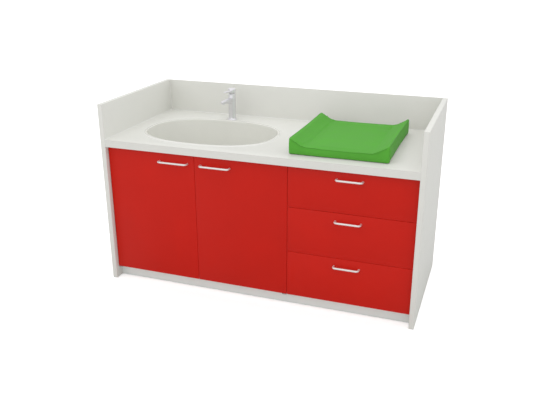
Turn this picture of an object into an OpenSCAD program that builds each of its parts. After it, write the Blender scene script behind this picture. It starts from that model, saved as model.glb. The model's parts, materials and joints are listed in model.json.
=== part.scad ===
// Changing table with a basin.
// A laminated cabinet whose side and back panels rise above the worktop as a guard edge.
// On the left a large oval bathing basin with a mixer tap hangs in the worktop over a
// two-door cupboard, and on the right a changing pad lies above three drawers.
// Millimetres, +Z up, the fronts face -Y, the origin is on the floor under the middle.

/* [Cabinet] */
// Width over the side panels
body_w = 1700; // [1600:10:1900]
// Depth of the side panels
body_d = 760; // [730:5:850]
// Height of the side panels
body_h = 1000; // [950:5:1100]
// Height of the worktop's top face
worktop_z = 812; // [790:1:860]
// Thickness of the worktop
worktop_t = 39; // [28:1:45]
// Thickness of the side panels
side_t = 26; // [18:1:30]
// Thickness of the back panel
back_t = 8; // [5:1:12]
// Thickness of the floor board, the divider and the plinth boards
board_t = 19; // [16:1:22]
// Height of the plinth under the floor board
plinth_h = 65; // [55:1:90]
// Setback of the plinth from the side panels' front edges
plinth_recess = 57; // [50:1:80]
// Height of the battens that carry the worktop's ends
batten_h = 30; // [20:1:32]
// Width of the battens
batten_w = 20; // [15:1:30]

/* [Fronts] */
// Thickness of the doors and drawer fronts
front_t = 19; // [18:1:22]
// Setback of the fronts from the side panels' front edges
front_recess = 23; // [18:1:28]
// Gap between neighbouring fronts and round their outside
front_gap = 3; // [2.5:0.5:4]
// Air between the fronts' backs and the cabinet's front edges
front_air = 7; // [6:0.5:10]
// Width of the drawer fronts
drawer_front_w = 636; // [560:1:700]
// Height of the lower drawer's front
lower_front_h = 244; // [220:1:270]
// Height of the middle drawer's front
middle_front_h = 239; // [210:1:250]

/* [Handles] */
// Diameter of the handles' round bar
handle_d = 10; // [8:1:12]
// Height of the handles off the fronts
handle_rise = 30; // [26:1:36]
// Screw spacing of the door handles
door_handle_span = 160; // [128:32:192]
// Screw spacing of the drawer handles
drawer_handle_span = 128; // [96:32:160]
// Centre radius of the handles' bends
handle_bend = 12; // [8:1:15]
// Door handle's centre from the door's free edge
door_handle_in = 116; // [110:1:150]
// Door handles' axis below the doors' top edge
door_handle_drop = 49; // [30:1:60]
// Drawer handles' axis below the drawer fronts' top edge
drawer_handle_drop = 42; // [25:1:60]
// Drawer handles' centre to the left of the drawer fronts' centre
drawer_handle_left = 8; // [0:1:40]

/* [Door pivots] */
// Pivot pin diameter
pin_d = 6; // [5:0.5:7]
// Pivot axis from the door's hinge edge
pivot_in = 12; // [11.5:0.5:14]
// Pivot axis behind the door's front face
pivot_back = 8; // [7:0.5:9]
// Radial play of the pins in their bushes
pivot_play = 0.05; // [0.02:0.01:0.08]
// Depth of the pins in the doors
pin_depth = 9; // [7:0.5:12]
// Thickness of the pivot plates
pivot_plate_t = 3; // [2:0.5:4]
// Length of the pivot plates along the door
pivot_plate_l = 42; // [36:1:50]

/* [Drawers] */
// Thickness of the drawer boxes' walls
box_t = 12; // [10:1:16]
// Thickness of the drawer bottoms
box_bottom_t = 8; // [5:1:10]
// Depth of the drawer boxes
box_d = 600; // [500:10:620]
// Drawer box above its front's lower edge
box_lift = 30; // [28:1:40]
// Drawer box below its front's upper edge
box_drop = 40; // [36:1:60]
// Travel of a drawer, which sets the length of its slides
drawer_travel = 550; // [450:10:560]
// Room that one slide takes beside the box
slide_t = 12.7; // [12.5:0.1:14]
// Height of a slide
slide_h = 45; // [42:1:50]
// Sheet thickness of the slides
slide_sheet = 1.2; // [1:0.1:1.4]
// Return lips of the slides' channels
slide_lip = 3; // [2:0.5:4]
// Running clearance between the slides' members
slide_slip = 0.3; // [0.25:0.05:0.4]

/* [Basin] */
// Half the length of the basin's mouth
basin_a = 364; // [330:1:380]
// Half the width of the basin's mouth
basin_b = 256; // [230:1:262]
// Squareness of the oval, 2 is an ellipse
basin_n = 2.4; // [2:0.1:3]
// Basin's centre from the left panel's inner face
basin_x = 465; // [440:1:480]
// Basin's centre from the worktop's front edge
basin_y = 341; // [335:1:360]
// Depth of the basin
basin_depth = 220; // [180:5:240]
// Wall of the basin
basin_wall = 5; // [4:0.5:6]
// Width of the lip that lies on the worktop
lip_w = 13; // [11:0.5:16]
// Thickness of the lip
lip_t = 3; // [2:0.5:4]
// Radius between the basin's wall and its floor
basin_fillet = 62; // [45:1:70]
// Inward lean of the basin's wall over its depth
basin_lean = 16; // [8:1:24]
// Waste tail diameter
waste_d = 44; // [40:1:48]
// Travel of the push-open plug
plug_travel = 9; // [6:1:12]
// Outside diameter of the waste pipe
pipe_d = 32; // [30:1:36]

/* [Tap] */
// Tap's axis to the right of the left panel's inner face
tap_x = 459; // [440:1:480]
// Tap's axis from the worktop's front edge
tap_y = 643; // [638:1:665]
// Height of the tap over the worktop
tap_h = 183; // [165:1:200]
// Diameter of the tap's column
tap_d = 43; // [40:1:46]
// Diameter of the tap's foot
tap_foot_d = 58; // [54:1:62]
// Height of the spout's flat top over the worktop
spout_z = 131; // [120:1:133]
// Reach of the spout from the tap's axis to its outlet
spout_reach = 122; // [105:1:140]
// Reach of the lever from the tap's axis
lever_reach = 111; // [90:1:125]
// Greatest lift of the lever in degrees
lever_lift = 18; // [12:1:20]
// Inlet tails' axis below the top of the service opening
tail_drop = 40; // [25:5:60]

/* [Changing pad] */
// Width of the pad
pad_w = 500; // [440:1:540]
// Length of the pad from front to back
pad_l = 585; // [540:1:640]
// Thickness of the pad's flat middle
pad_t = 41; // [30:1:50]
// Height of the pad's raised sides
pad_wing_h = 83; // [60:1:95]
// Width of each raised side
pad_wing_w = 84; // [70:1:110]
// Pad's left side from the left panel's inner face
pad_x = 993; // [985:1:1060]
// Pad's front from the worktop's front edge
pad_y = 73; // [50:1:100]

/* [Hidden] */

round_fn = 96;
bar_fn = 48;
cut = 1;
rest_gap = 0.3;

// The handles stand a little in front of the side panels, and the origin is in the
// middle of the whole depth.
handle_proud = max(0, handle_rise - front_recess);
panel_y = handle_proud - (body_d + handle_proud) / 2;
back_y = panel_y + body_d;
inner_x = body_w / 2 - side_t;
deck_z = worktop_z - worktop_t;
back_face_y = back_y - back_t;

// Fronts: their front faces, back faces and the cabinet edges behind them
front_y = panel_y + front_recess;
front_back_y = front_y + front_t;
carcass_y = front_back_y + front_air;
front_lap = 2;
front_z0 = plinth_h + front_lap;
front_z1 = deck_z - front_gap;
lower_z0 = front_z0;
middle_z0 = lower_z0 + lower_front_h + front_gap;
upper_z0 = middle_z0 + middle_front_h + front_gap;
upper_front_h = front_z1 - upper_z0;
drawer_x1 = inner_x - front_gap;
drawer_x0 = drawer_x1 - drawer_front_w;
divider_x = drawer_x0 - front_gap / 2;
door_x0 = -inner_x + front_gap;
door_x1 = drawer_x0 - front_gap;
door_w = (door_x1 - door_x0 - front_gap) / 2;
door_h = front_z1 - front_z0;

// Pivots
pivot_y = front_y + pivot_back;
left_pivot_x = door_x0 + pivot_in;
right_pivot_x = door_x1 - pivot_in;
plate_w = 12;
bush_w = 12;
bush_t = 3;
shoulder_d = 11;
bracket_w = 24;
bracket_back = 34;

// Drawer bay between the divider and the right panel
bay_x0 = divider_x + board_t / 2;
bay_x1 = inner_x;
slide_y = carcass_y + 2;
slide_l = drawer_travel + 50;
box_x0 = bay_x0 + slide_t;
box_x1 = bay_x1 - slide_t;
box_recess = 10;
rail_up = 14;

// Basin and waste
bowl_x = -inner_x + basin_x;
bowl_y = panel_y + basin_y;
bowl_z = worktop_z - basin_depth;
hole_play = 1;
waste_play = 0.5;
flange_d = waste_d + 24;
flange_t = 2.5;
tail_wall = 2.5;
waste_tail_l = 62;
guide_d = 10;
guide_play = 0.05;
guide_z = bowl_z - 32;
guide_t = 16;
backnut_t = 11;
trap_d = 54;
trap_top_z = bowl_z - 48;
trap_low_z = trap_top_z - 64;
cup_low_z = trap_low_z - 58;
outlet_z = trap_low_z + 22;
pipe_wall = 2;
pipe_end_in = 2;
spigot_l = 60;
bead_w = 4;
pipe_start = 34;
service_w = 400;
service_h = 270;
service_r = 25;

// Tap
axis_x = -inner_x + tap_x;
axis_y = panel_y + tap_y;
tap_r = tap_d / 2;
ball_r = tap_r - 6;
ball_play = 0.35;
trunnion_r = 3;
trunnion_l = 2.5;
cap_h = 24;
pivot_z = worktop_z + tap_h - cap_h;
neck_gap = tap_r * sin(lever_lift) + 0.6;
tap_top_z = pivot_z - neck_gap;
stem_d = 28;
stem_play = 0.05;
stem_l = 18;
shank_d = 34;
shank_l = 64;
tap_hole_d = shank_d + 1;
fixing_d = 56;
fixing_t = 8;
tail_d = 10;
tail_spread = 8;
tail_bend = 30;
spout_root = [27, 29];
spout_tip = [23, 9];
spout_over = 22;
lever_root = [22, 12.5];
lever_tip = [14, 4.5];
lever_rise = 8;
outlet_r = 11;
outlet_drop = 17;
aerator_r = 8.5;
aerator_play = 0.2;

// Magnetic catches
catch_w = 46;
catch_d = 14;
catch_h = 15;
catch_in = 48;
catch_plate_t = 1;

panel_colour = [0.86, 0.86, 0.83];
front_colour = [0.78, 0.13, 0.11];
pad_colour = [0.30, 0.68, 0.22];
basin_colour = [0.88, 0.88, 0.85];
metal_colour = [0.78, 0.78, 0.80];
zinc_colour = [0.66, 0.68, 0.70];
plastic_colour = [0.92, 0.92, 0.90];
birch_colour = [0.86, 0.78, 0.64];

// A block between two corners
module block(low, high) {
  translate(low)
    cube(high - low);
}

// A flat laminated board with square edges
module board(low, high, colour = panel_colour) {
  color(colour)
    block(low, high);
}

// Points of an oval between an ellipse and a rectangle
function oval(a, b, n, count) = [
  for (i = [0 : count - 1])
    let (t = 360 * i / count, c = cos(t), s = sin(t))
    [a * sign(c) * pow(abs(c), 2 / n), b * sign(s) * pow(abs(s), 2 / n)]
];

// Triangles between neighbouring rings of a skin, with a fan at each end
function skin_faces(rings, count) = concat(
  [for (k = [0 : rings - 2], i = [0 : count - 1])
    [k * count + i, (k + 1) * count + i, k * count + (i + 1) % count]],
  [for (k = [0 : rings - 2], i = [0 : count - 1])
    [k * count + (i + 1) % count, (k + 1) * count + i, (k + 1) * count + (i + 1) % count]],
  [for (i = [0 : count - 1]) [rings * count, i, (i + 1) % count]],
  [for (i = [0 : count - 1])
    [rings * count + 1, (rings - 1) * count + (i + 1) % count, (rings - 1) * count + i]]
);

module left_side_panel() {
  board([-body_w / 2, panel_y, 0], [-inner_x, back_y, body_h]);
}

module right_side_panel() {
  board([inner_x, panel_y, 0], [body_w / 2, back_y, body_h]);
}

// The back panel stands full height between the sides: its upper part is the guard edge
// behind the worktop, and a service opening lets the pipes through behind the basin.
module back_panel() {
  low = outlet_z - service_h / 2;
  color(panel_colour)
    difference() {
      block([-inner_x, back_face_y, plinth_h], [inner_x, back_y, body_h]);
      translate([bowl_x, back_face_y - cut, low + service_h / 2])
        rotate([-90, 0, 0])
          linear_extrude(back_t + 2 * cut)
            rounded_rectangle(service_w, service_h, service_r);
    }
}

module rounded_rectangle(w, h, r) {
  square([w - 2 * r, h], center = true);
  square([w, h - 2 * r], center = true);
  for (sx = [-1, 1], sy = [-1, 1])
    translate([sx * (w / 2 - r), sy * (h / 2 - r)])
      circle(r, $fn = bar_fn);
}

// The worktop has an oval cut-out for the basin, the tap's hole, and two shallow pockets
// underneath for the doors' upper pivot plates.
module worktop() {
  mouth = basin_wall + hole_play;
  color(panel_colour)
    difference() {
      block([-inner_x, panel_y, deck_z], [inner_x, back_face_y, worktop_z]);
      translate([bowl_x, bowl_y, deck_z - cut])
        linear_extrude(worktop_t + 2 * cut)
          polygon(oval(basin_a + mouth, basin_b + mouth, basin_n, round_fn));
      translate([axis_x, axis_y, deck_z - cut])
        cylinder(h = worktop_t + 2 * cut, d = tap_hole_d, $fn = round_fn);
      for (side = [-1, 1])
        translate([side < 0 ? left_pivot_x : right_pivot_x, pivot_y, deck_z - cut])
          plate_outline(side, pivot_plate_l, plate_w, pivot_plate_t + cut);
    }
}

module floor_board() {
  board([-inner_x, carcass_y, plinth_h], [inner_x, back_face_y, plinth_h + board_t]);
}

module divider_panel() {
  board([divider_x - board_t / 2, carcass_y, plinth_h + board_t],
        [divider_x + board_t / 2, back_face_y, deck_z]);
}

// The plinth is notched at the top for the two lower pivot brackets.
module plinth_board() {
  face_y = panel_y + plinth_recess;
  color(panel_colour)
    difference() {
      block([-inner_x, face_y, 0], [inner_x, face_y + board_t, plinth_h]);
      for (x = [left_pivot_x, right_pivot_x])
        block([x - bracket_w / 2 - hole_play, face_y - cut, plinth_h - pivot_plate_t - rest_gap],
              [x + bracket_w / 2 + hole_play, face_y + board_t + cut, plinth_h + cut]);
    }
}

module rear_plinth() {
  board([-inner_x, back_face_y - board_t, 0], [inner_x, back_face_y, plinth_h]);
}

module worktop_battens() {
  front = carcass_y + 12;
  color(birch_colour)
    for (side = [-1, 1])
      block([side < 0 ? -inner_x : inner_x - batten_w, front, deck_z - batten_h],
            [side < 0 ? -inner_x + batten_w : inner_x, back_face_y, deck_z]);
}

// The basin is one moulded skin: floor, wall, lip and outside are rings of one oval.
// Each row holds how far the ring lies outside the mouth, its height over the worktop,
// and how far it has turned from the oval into the round seat of the waste.
function wall_row(out, z) = [out, z, 0];
function bowl_side(skin) = let (
    radius = basin_fillet + skin,
    low = -basin_depth + floor_fall + basin_fillet
  ) concat(
    [for (q = [0, 0.5, 1]) wall_row(skin - basin_lean * q, q < 0.1 ? 0 : low * q)],
    [for (turn = [16 : 16 : 80])
      wall_row(skin - basin_lean - radius * (1 - cos(turn)), low - radius * sin(turn))]
  );
floor_fall = 8;
seat_r = flange_d / 2 + 5;
function ring(row, count) =
  let (
    m = row[2],
    points = oval(
      (basin_a + row[0]) * (1 - m) + seat_r * m,
      (basin_b + row[0]) * (1 - m) + seat_r * m,
      basin_n * (1 - m) + 2 * m, count)
  )
  [for (p = points) [p[0], p[1], row[1]]];
function bowl_floor(skin) = [
  for (m = [0.35, 0.7, 1])
    [skin - basin_lean - (basin_fillet + skin) * (1 - cos(80)),
     -basin_depth + floor_fall * (1 - m) * 0.6 - skin, m]
];

module basin_bowl() {
  count = 60;
  inner = bowl_side(0);
  outer = bowl_side(basin_wall);
  edge = 1.2;
  rows = concat(
    [for (i = [2 : -1 : 0]) bowl_floor(0)[i]],
    [for (i = [len(inner) - 1 : -1 : 1]) inner[i]],
    [wall_row(0, lip_t - edge)],
    [wall_row(edge, lip_t)],
    [wall_row(lip_w - 2 * edge, lip_t)],
    [wall_row(lip_w - edge / 2, lip_t - edge)],
    [wall_row(lip_w, 0)],
    outer,
    bowl_floor(basin_wall)
  );
  points = concat(
    [for (row = rows) each ring(row, count)],
    [[0, 0, -basin_depth], [0, 0, -basin_depth - basin_wall]]
  );
  color(basin_colour)
    translate([bowl_x, bowl_y, 0])
      difference() {
        translate([0, 0, worktop_z])
          polyhedron(points, skin_faces(len(rows), count));
        translate([0, 0, bowl_z - basin_wall - cut])
          cylinder(h = basin_wall + 2 * cut, d = waste_d + 2 * waste_play, $fn = round_fn);
      }
}

// The waste flange seats on the basin's floor. Its tail goes down through the basin,
// and a three-armed guide in the tail carries the plug's stem.
module waste_flange() {
  color(metal_colour)
    translate([bowl_x, bowl_y, 0]) {
      translate([0, 0, bowl_z])
        rotate_extrude($fn = round_fn)
          polygon([
            [waste_d / 2 - tail_wall, -waste_tail_l], [waste_d / 2, -waste_tail_l],
            [waste_d / 2, 0], [flange_d / 2, 0], [flange_d / 2 - 1, flange_t * 0.7],
            [flange_d / 2 - 4, flange_t], [waste_d / 2 + 2, flange_t],
            [waste_d / 2 - tail_wall, flange_t - 2]
          ]);
      difference() {
        union() {
          translate([0, 0, guide_z - guide_t])
            cylinder(h = guide_t, d = guide_d + 8, $fn = bar_fn);
          for (arm = [0 : 120 : 240])
            rotate([0, 0, arm])
              translate([guide_d / 2 + 1, -1.5, guide_z - guide_t])
                cube([waste_d / 2 - tail_wall / 2 - guide_d / 2 - 1, 3, guide_t]);
        }
        translate([0, 0, guide_z - guide_t - cut])
          cylinder(h = guide_t + 2 * cut, r = guide_d / 2 + guide_play, $fn = bar_fn);
      }
    }
}

// Push-open plug: a domed cap over the flange, on a stem that still fills its guide
// when the plug is up
module waste_plug() {
  low = bowl_z + flange_t + rest_gap;
  stem_z = guide_z - guide_t - plug_travel;
  cap_r = flange_d / 2 - 5;
  color(metal_colour)
    translate([bowl_x, bowl_y, 0])
      rotate_extrude($fn = round_fn)
        polygon([
          [0, stem_z], [guide_d / 2, stem_z],
          [guide_d / 2, low], [cap_r, low], [cap_r, low + 2], [cap_r - 2, low + 4],
          [cap_r * 0.6, low + 5.5], [0, low + 6]
        ]);
}

module waste_backnut() {
  color(plastic_colour)
    translate([bowl_x, bowl_y, bowl_z - basin_wall - backnut_t])
      difference() {
        union() {
          cylinder(h = backnut_t, d = waste_d + 18, $fn = round_fn);
          for (a = [0 : 45 : 315])
            rotate([0, 0, a])
              translate([waste_d / 2 + 8, -3, 0])
                cube([4, 6, backnut_t - 3]);
        }
        translate([0, 0, -cut])
          cylinder(h = backnut_t + 2 * cut, r = waste_d / 2 + guide_play, $fn = round_fn);
      }
}

// Bottle trap: a collar that grips the waste's tail, the trap's head with its side
// outlet, and a ribbed cup that unscrews from below
module bottle_trap() {
  tail_r = waste_d / 2 + guide_play;
  color(plastic_colour)
    translate([bowl_x, bowl_y, 0])
      difference() {
        union() {
          rotate_extrude($fn = round_fn)
            polygon([
              [0, trap_low_z], [trap_d / 2, trap_low_z], [trap_d / 2, trap_top_z - 26],
              [trap_d / 2 + 4, trap_top_z - 22], [trap_d / 2 + 4, trap_top_z - 2],
              [trap_d / 2 + 2, trap_top_z], [0, trap_top_z]
            ]);
          translate([0, 0, outlet_z])
            rotate([-90, 0, 0])
              cylinder(h = pipe_start + 24, d = pipe_d + 8, $fn = round_fn);
          translate([0, pipe_start + 6, outlet_z])
            rotate([-90, 0, 0])
              cylinder(h = 18, d = pipe_d + 14, $fn = round_fn);
        }
        translate([0, 0, trap_top_z - 22])
          cylinder(h = 22 + cut, r = tail_r, $fn = round_fn);
        translate([0, 0, trap_low_z - cut])
          cylinder(h = trap_top_z - trap_low_z - 8, r = trap_d / 2 - 3, $fn = round_fn);
        translate([0, pipe_start, outlet_z])
          rotate([-90, 0, 0])
            cylinder(h = 24 + cut, r = pipe_d / 2 + guide_play, $fn = round_fn);
        translate([0, 0, outlet_z])
          rotate([-90, 0, 0])
            cylinder(h = pipe_start + cut, r = pipe_d / 2 - pipe_wall, $fn = round_fn);
      }
}

module trap_cup() {
  color(plastic_colour)
    translate([bowl_x, bowl_y, 0]) {
      rotate_extrude($fn = round_fn)
        polygon([
          [0, cup_low_z], [trap_d / 2 - 9, cup_low_z], [trap_d / 2 - 2, cup_low_z + 8],
          [trap_d / 2, trap_low_z - 20], [trap_d / 2 + 4, trap_low_z - 18],
          [trap_d / 2 + 4, trap_low_z], [trap_d / 2 - 3, trap_low_z],
          [trap_d / 2 - 3, cup_low_z + 8], [trap_d / 2 - 10, cup_low_z + 3],
          [0, cup_low_z + 3]
        ]);
      for (a = [0 : 30 : 330])
        rotate([0, 0, a])
          translate([trap_d / 2 + 3, -1.5, trap_low_z - 16])
            cube([2.5, 3, 14]);
    }
}

// The waste pipe runs back through the service opening; a stop bead marks its spigot
module waste_pipe() {
  start = bowl_y + pipe_start;
  length = back_y - pipe_end_in - start;
  color(plastic_colour)
    translate([bowl_x, start, outlet_z])
      rotate([-90, 0, 0])
        difference() {
          union() {
            cylinder(h = length, d = pipe_d, $fn = round_fn);
            translate([0, 0, length - spigot_l - bead_w])
              cylinder(h = bead_w, d = pipe_d + 6, $fn = round_fn);
          }
          translate([0, 0, -cut])
            cylinder(h = back_y - start + 2 * cut, r = pipe_d / 2 - pipe_wall, $fn = round_fn);
        }
}

// View from above of a blade that points forwards from the tap's axis to a round end
module blade_plan(reach, root_w, tip_w) {
  end_r = tip_w / 2;
  polygon(concat(
    [[-root_w / 2, 0]],
    [for (a = [180 : 20 : 360]) [end_r * cos(a), end_r * sin(a) - reach + end_r]],
    [[root_w / 2, 0]]));
}

// A blade from its side view, whose X is forwards and down the row's -Y, and its plan
module blade(side, reach, root_w, tip_w) {
  intersection() {
    translate([-root_w, 0, 0])
      rotate([90, 0, 90])
        linear_extrude(2 * root_w)
          polygon([for (p = side) [-p.x, p.y]]);
    translate([0, 0, -2 * cap_h])
      linear_extrude(4 * cap_h)
        blade_plan(reach, root_w, tip_w);
  }
}

// Tap: a turned column whose spout is a blade, flat on top and deeper towards the column,
// with a collar for the aerator; the shank below goes through the worktop
module tap_body() {
  tip_y = spout_reach + spout_over;
  top = tap_top_z - worktop_z;
  foot_r = tap_foot_d / 2;
  color(metal_colour)
    translate([axis_x, axis_y, worktop_z])
      difference() {
        union() {
          rotate_extrude($fn = round_fn)
            polygon([
              [0, -shank_l], [shank_d / 2, -shank_l], [shank_d / 2, 0], [foot_r, 0],
              [foot_r, 2.5], [foot_r - 1.5, 4.5], [tap_r + 2, 6.5], [tap_r, 10],
              [tap_r, top - 1], [tap_r - 1, top], [0, top]
            ]);
          translate([0, 0, spout_z])
            blade(
              [
                [0, 0], [tip_y - 3, 0], [tip_y, -2.5], [tip_y, 2 - spout_tip[1]],
                [tip_y - 2.5, -spout_tip[1]], [tap_r, -spout_root[1]], [0, -spout_root[1]]
              ],
              tip_y, spout_root[0], spout_tip[0]);
          translate([0, -spout_reach, spout_z - outlet_drop])
            cylinder(h = outlet_drop - 4, r = outlet_r, $fn = bar_fn);
        }
        translate([0, 0, top - stem_l])
          cylinder(h = stem_l + cut, r = stem_d / 2 + stem_play, $fn = round_fn);
        translate([0, -spout_reach, spout_z - outlet_drop - cut])
          cylinder(h = 9 + cut, r = aerator_r + aerator_play, $fn = bar_fn);
      }
}

module tap_aerator() {
  low = worktop_z + spout_z - outlet_drop - 1;
  color(zinc_colour)
    translate([axis_x, axis_y - spout_reach, low])
      difference() {
        cylinder(h = 10, r = aerator_r, $fn = bar_fn);
        for (k = [-1 : 1])
          translate([-aerator_r, k * 4 - 0.75, -cut])
            cube([2 * aerator_r, 1.5, 2 + cut]);
      }
}

// A bar through the ball's centre, on which the lever tilts
module trunnion(play) {
  rotate([0, 90, 0])
    cylinder(h = 2 * (ball_r + trunnion_l + play), r = trunnion_r + play, center = true, $fn = bar_fn);
}

// The cartridge turns in the column on its stem, and its ball carries the lever.
module tap_cartridge() {
  color(zinc_colour)
    translate([axis_x, axis_y, 0]) {
      translate([0, 0, tap_top_z - stem_l + rest_gap])
        cylinder(h = stem_l + neck_gap / 2, d = stem_d, $fn = round_fn);
      translate([0, 0, pivot_z]) {
        sphere(r = ball_r, $fn = round_fn);
        trunnion(0);
      }
    }
}

// The lever's cap sits over the ball like a hood. Its blade points forwards, rises a
// little and thins towards its tip.
module tap_lever() {
  low = 2;
  tip_z = low + lever_root[1] + lever_rise;
  color(metal_colour)
    translate([axis_x, axis_y, pivot_z])
      difference() {
        union() {
          rotate_extrude($fn = round_fn)
            polygon([
              [0, 0], [tap_r, 0], [tap_r, cap_h - 4], [tap_r - 1.2, cap_h - 1.2],
              [tap_r - 4, cap_h], [0, cap_h]
            ]);
          blade(
            [
              [0, low], [0, low + lever_root[1]], [tap_r, low + lever_root[1]],
              [lever_reach - 2, tip_z], [lever_reach, tip_z - 1.5],
              [lever_reach, tip_z - lever_tip[1] + 1.2], [lever_reach - 2, tip_z - lever_tip[1]],
              [tap_r, low]
            ],
            lever_reach, lever_root[0], lever_tip[0]);
        }
        sphere(r = ball_r + ball_play, $fn = round_fn);
        trunnion(stem_play);
      }
}

module tap_fixing_nut() {
  low = deck_z - fixing_t - 12;
  bore_r = shank_d / 2 + guide_play;
  color(zinc_colour)
    translate([axis_x, axis_y, 0])
      difference() {
        union() {
          translate([0, 0, deck_z - fixing_t])
            cylinder(h = fixing_t, d = fixing_d, $fn = round_fn);
          translate([0, 0, low])
            cylinder(h = 12, d = fixing_d - 10, $fn = 6);
        }
        translate([0, 0, low - cut])
          cylinder(h = fixing_t + 12 + 2 * cut, r = bore_r, $fn = round_fn);
      }
}

// Two copper tails come down from the tap and turn back through the service opening.
module tap_inlet_tails() {
  bend_z = outlet_z + service_h / 2 - tail_drop + tail_bend;
  color(metal_colour)
    for (side = [-1, 1])
      translate([axis_x + side * tail_spread, axis_y, bend_z]) {
        cylinder(h = worktop_z - shank_l - bend_z, d = tail_d, $fn = bar_fn);
        translate([0, tail_bend, 0])
          rotate([-90, 0, 0])
            rotate([0, 90, 0])
              rotate_extrude(angle = 90, $fn = round_fn)
                translate([tail_bend, 0])
                  circle(d = tail_d, $fn = bar_fn);
        translate([0, tail_bend, -tail_bend])
          rotate([-90, 0, 0])
            cylinder(h = back_y - pipe_end_in - axis_y - tail_bend, d = tail_d, $fn = bar_fn);
      }
}

// A pivot plate with a rounded end at the pivot; it points away from the hinge edge
module plate_outline(side, length, width, thick) {
  linear_extrude(thick) {
    circle(d = width, $fn = bar_fn);
    translate([side < 0 ? 0 : -(length - width / 2), -width / 2])
      square([length - width / 2, width]);
  }
}

// Door blank with pockets for the bushes and blind holes for the pins
module door(side) {
  x0 = side < 0 ? door_x0 : door_x1 - door_w;
  axis = side < 0 ? left_pivot_x : right_pivot_x;
  color(front_colour)
    difference() {
      block([x0, front_y, front_z0], [x0 + door_w, front_back_y, front_z1]);
      for (end = [0, 1])
        translate([axis, pivot_y, end == 0 ? front_z0 : front_z1])
          mirror([0, 0, end]) {
            translate([0, 0, -cut])
              plate_outline(side, pivot_plate_l, bush_w, bush_t + cut);
            cylinder(h = pin_depth + 1.5, d = pin_d + 1, $fn = bar_fn);
          }
    }
}

module left_door() {
  door(-1);
}

module right_door() {
  door(1);
}

module bushes(side) {
  axis = side < 0 ? left_pivot_x : right_pivot_x;
  color(metal_colour)
    for (end = [0, 1])
      translate([axis, pivot_y, end == 0 ? front_z0 : front_z1])
        mirror([0, 0, end])
          difference() {
            plate_outline(side, pivot_plate_l, bush_w, bush_t);
            translate([0, 0, -cut])
              cylinder(h = bush_t + 2 * cut, r = pin_d / 2 + pivot_play, $fn = bar_fn);
          }
}

module left_door_bushes() {
  bushes(-1);
}

module right_door_bushes() {
  bushes(1);
}

// Fixed halves of the pivots: a plate let into the worktop with a pin that hangs into
// the door, and a bracket under the floor board with a shouldered pin that stands up
module pivots(side) {
  axis = side < 0 ? left_pivot_x : right_pivot_x;
  back = panel_y + plinth_recess + board_t + bracket_back;
  color(metal_colour) {
    translate([axis, pivot_y, 0]) {
      translate([0, 0, deck_z])
        plate_outline(side, pivot_plate_l, plate_w, pivot_plate_t);
      translate([0, 0, front_z1 - pin_depth])
        cylinder(h = deck_z - front_z1 + pin_depth + 1, d = pin_d, $fn = bar_fn);
      translate([0, 0, plinth_h - 1])
        cylinder(h = front_lap + pin_depth + 1, d = pin_d, $fn = bar_fn);
      translate([0, 0, plinth_h - 1])
        cylinder(h = front_lap + 1 - rest_gap, d = shoulder_d, $fn = bar_fn);
    }
    translate([axis, 0, plinth_h - pivot_plate_t])
      block([-bracket_w / 2, pivot_y - 9, 0], [bracket_w / 2, back, pivot_plate_t]);
  }
}

module left_door_pivots() {
  pivots(-1);
}

module right_door_pivots() {
  pivots(1);
}

module door_catches() {
  seam_x = door_x0 + door_w + front_gap / 2;
  low_y = front_back_y + catch_plate_t + rest_gap;
  color(plastic_colour)
    for (side = [-1, 1])
      translate([seam_x + side * catch_in, 0, 0])
        block([-catch_w / 2, low_y, deck_z - catch_h], [catch_w / 2, low_y + catch_d, deck_z]);
}

module catch_plate(side) {
  seam_x = door_x0 + door_w + front_gap / 2;
  high = deck_z - front_gap - 1;
  color(zinc_colour)
    translate([seam_x + side * catch_in, 0, 0])
      block([-catch_w / 2 + 4, front_back_y, high - catch_h + 2],
            [catch_w / 2 - 4, front_back_y + catch_plate_t, high]);
}

module left_catch_plate() {
  catch_plate(-1);
}

module right_catch_plate() {
  catch_plate(1);
}

// A bow handle: one round bar bent back at both ends to the front
module bow_handle(span) {
  bar_y = -(handle_rise - handle_d / 2);
  color(metal_colour) {
    translate([-(span / 2 - handle_bend), bar_y, 0])
      rotate([0, 90, 0])
        cylinder(h = span - 2 * handle_bend, d = handle_d, $fn = bar_fn);
    for (side = [0, 1])
      mirror([side, 0, 0]) {
        translate([span / 2 - handle_bend, bar_y + handle_bend, 0])
          rotate([0, 0, -90])
            rotate_extrude(angle = 90, $fn = bar_fn)
              translate([handle_bend, 0])
                circle(d = handle_d, $fn = bar_fn);
        translate([span / 2, bar_y + handle_bend, 0])
          rotate([-90, 0, 0])
            cylinder(h = -bar_y - handle_bend, d = handle_d, $fn = bar_fn);
      }
  }
}

module door_handle(side) {
  edge = side < 0 ? door_x0 + door_w : door_x1 - door_w;
  translate([edge + side * door_handle_in, front_y, front_z1 - door_handle_drop])
    bow_handle(door_handle_span);
}

module left_door_handle() {
  door_handle(-1);
}

module right_door_handle() {
  door_handle(1);
}

// Drawers, each given by its front's lower edge and height
module drawer_front(z0, h) {
  board([drawer_x0, front_y, z0], [drawer_x1, front_back_y, z0 + h], front_colour);
}

module drawer_handle(z0, h) {
  translate([(drawer_x0 + drawer_x1) / 2 - drawer_handle_left, front_y, z0 + h - drawer_handle_drop])
    bow_handle(drawer_handle_span);
}

// The box has four walls and a raised bottom board
module drawer_box(z0, h) {
  low = z0 + box_lift;
  high = z0 + h - box_drop;
  y0 = front_back_y;
  color(birch_colour)
    difference() {
      block([box_x0, y0, low], [box_x1, y0 + box_d, high]);
      block([box_x0 + box_t, y0 + box_t, low + box_recess + box_bottom_t],
            [box_x1 - box_t, y0 + box_d - box_t, high + cut]);
      block([box_x0 + box_t, y0 + box_t, low - cut],
            [box_x1 - box_t, y0 + box_d - box_t, low + box_recess]);
    }
}

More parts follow.
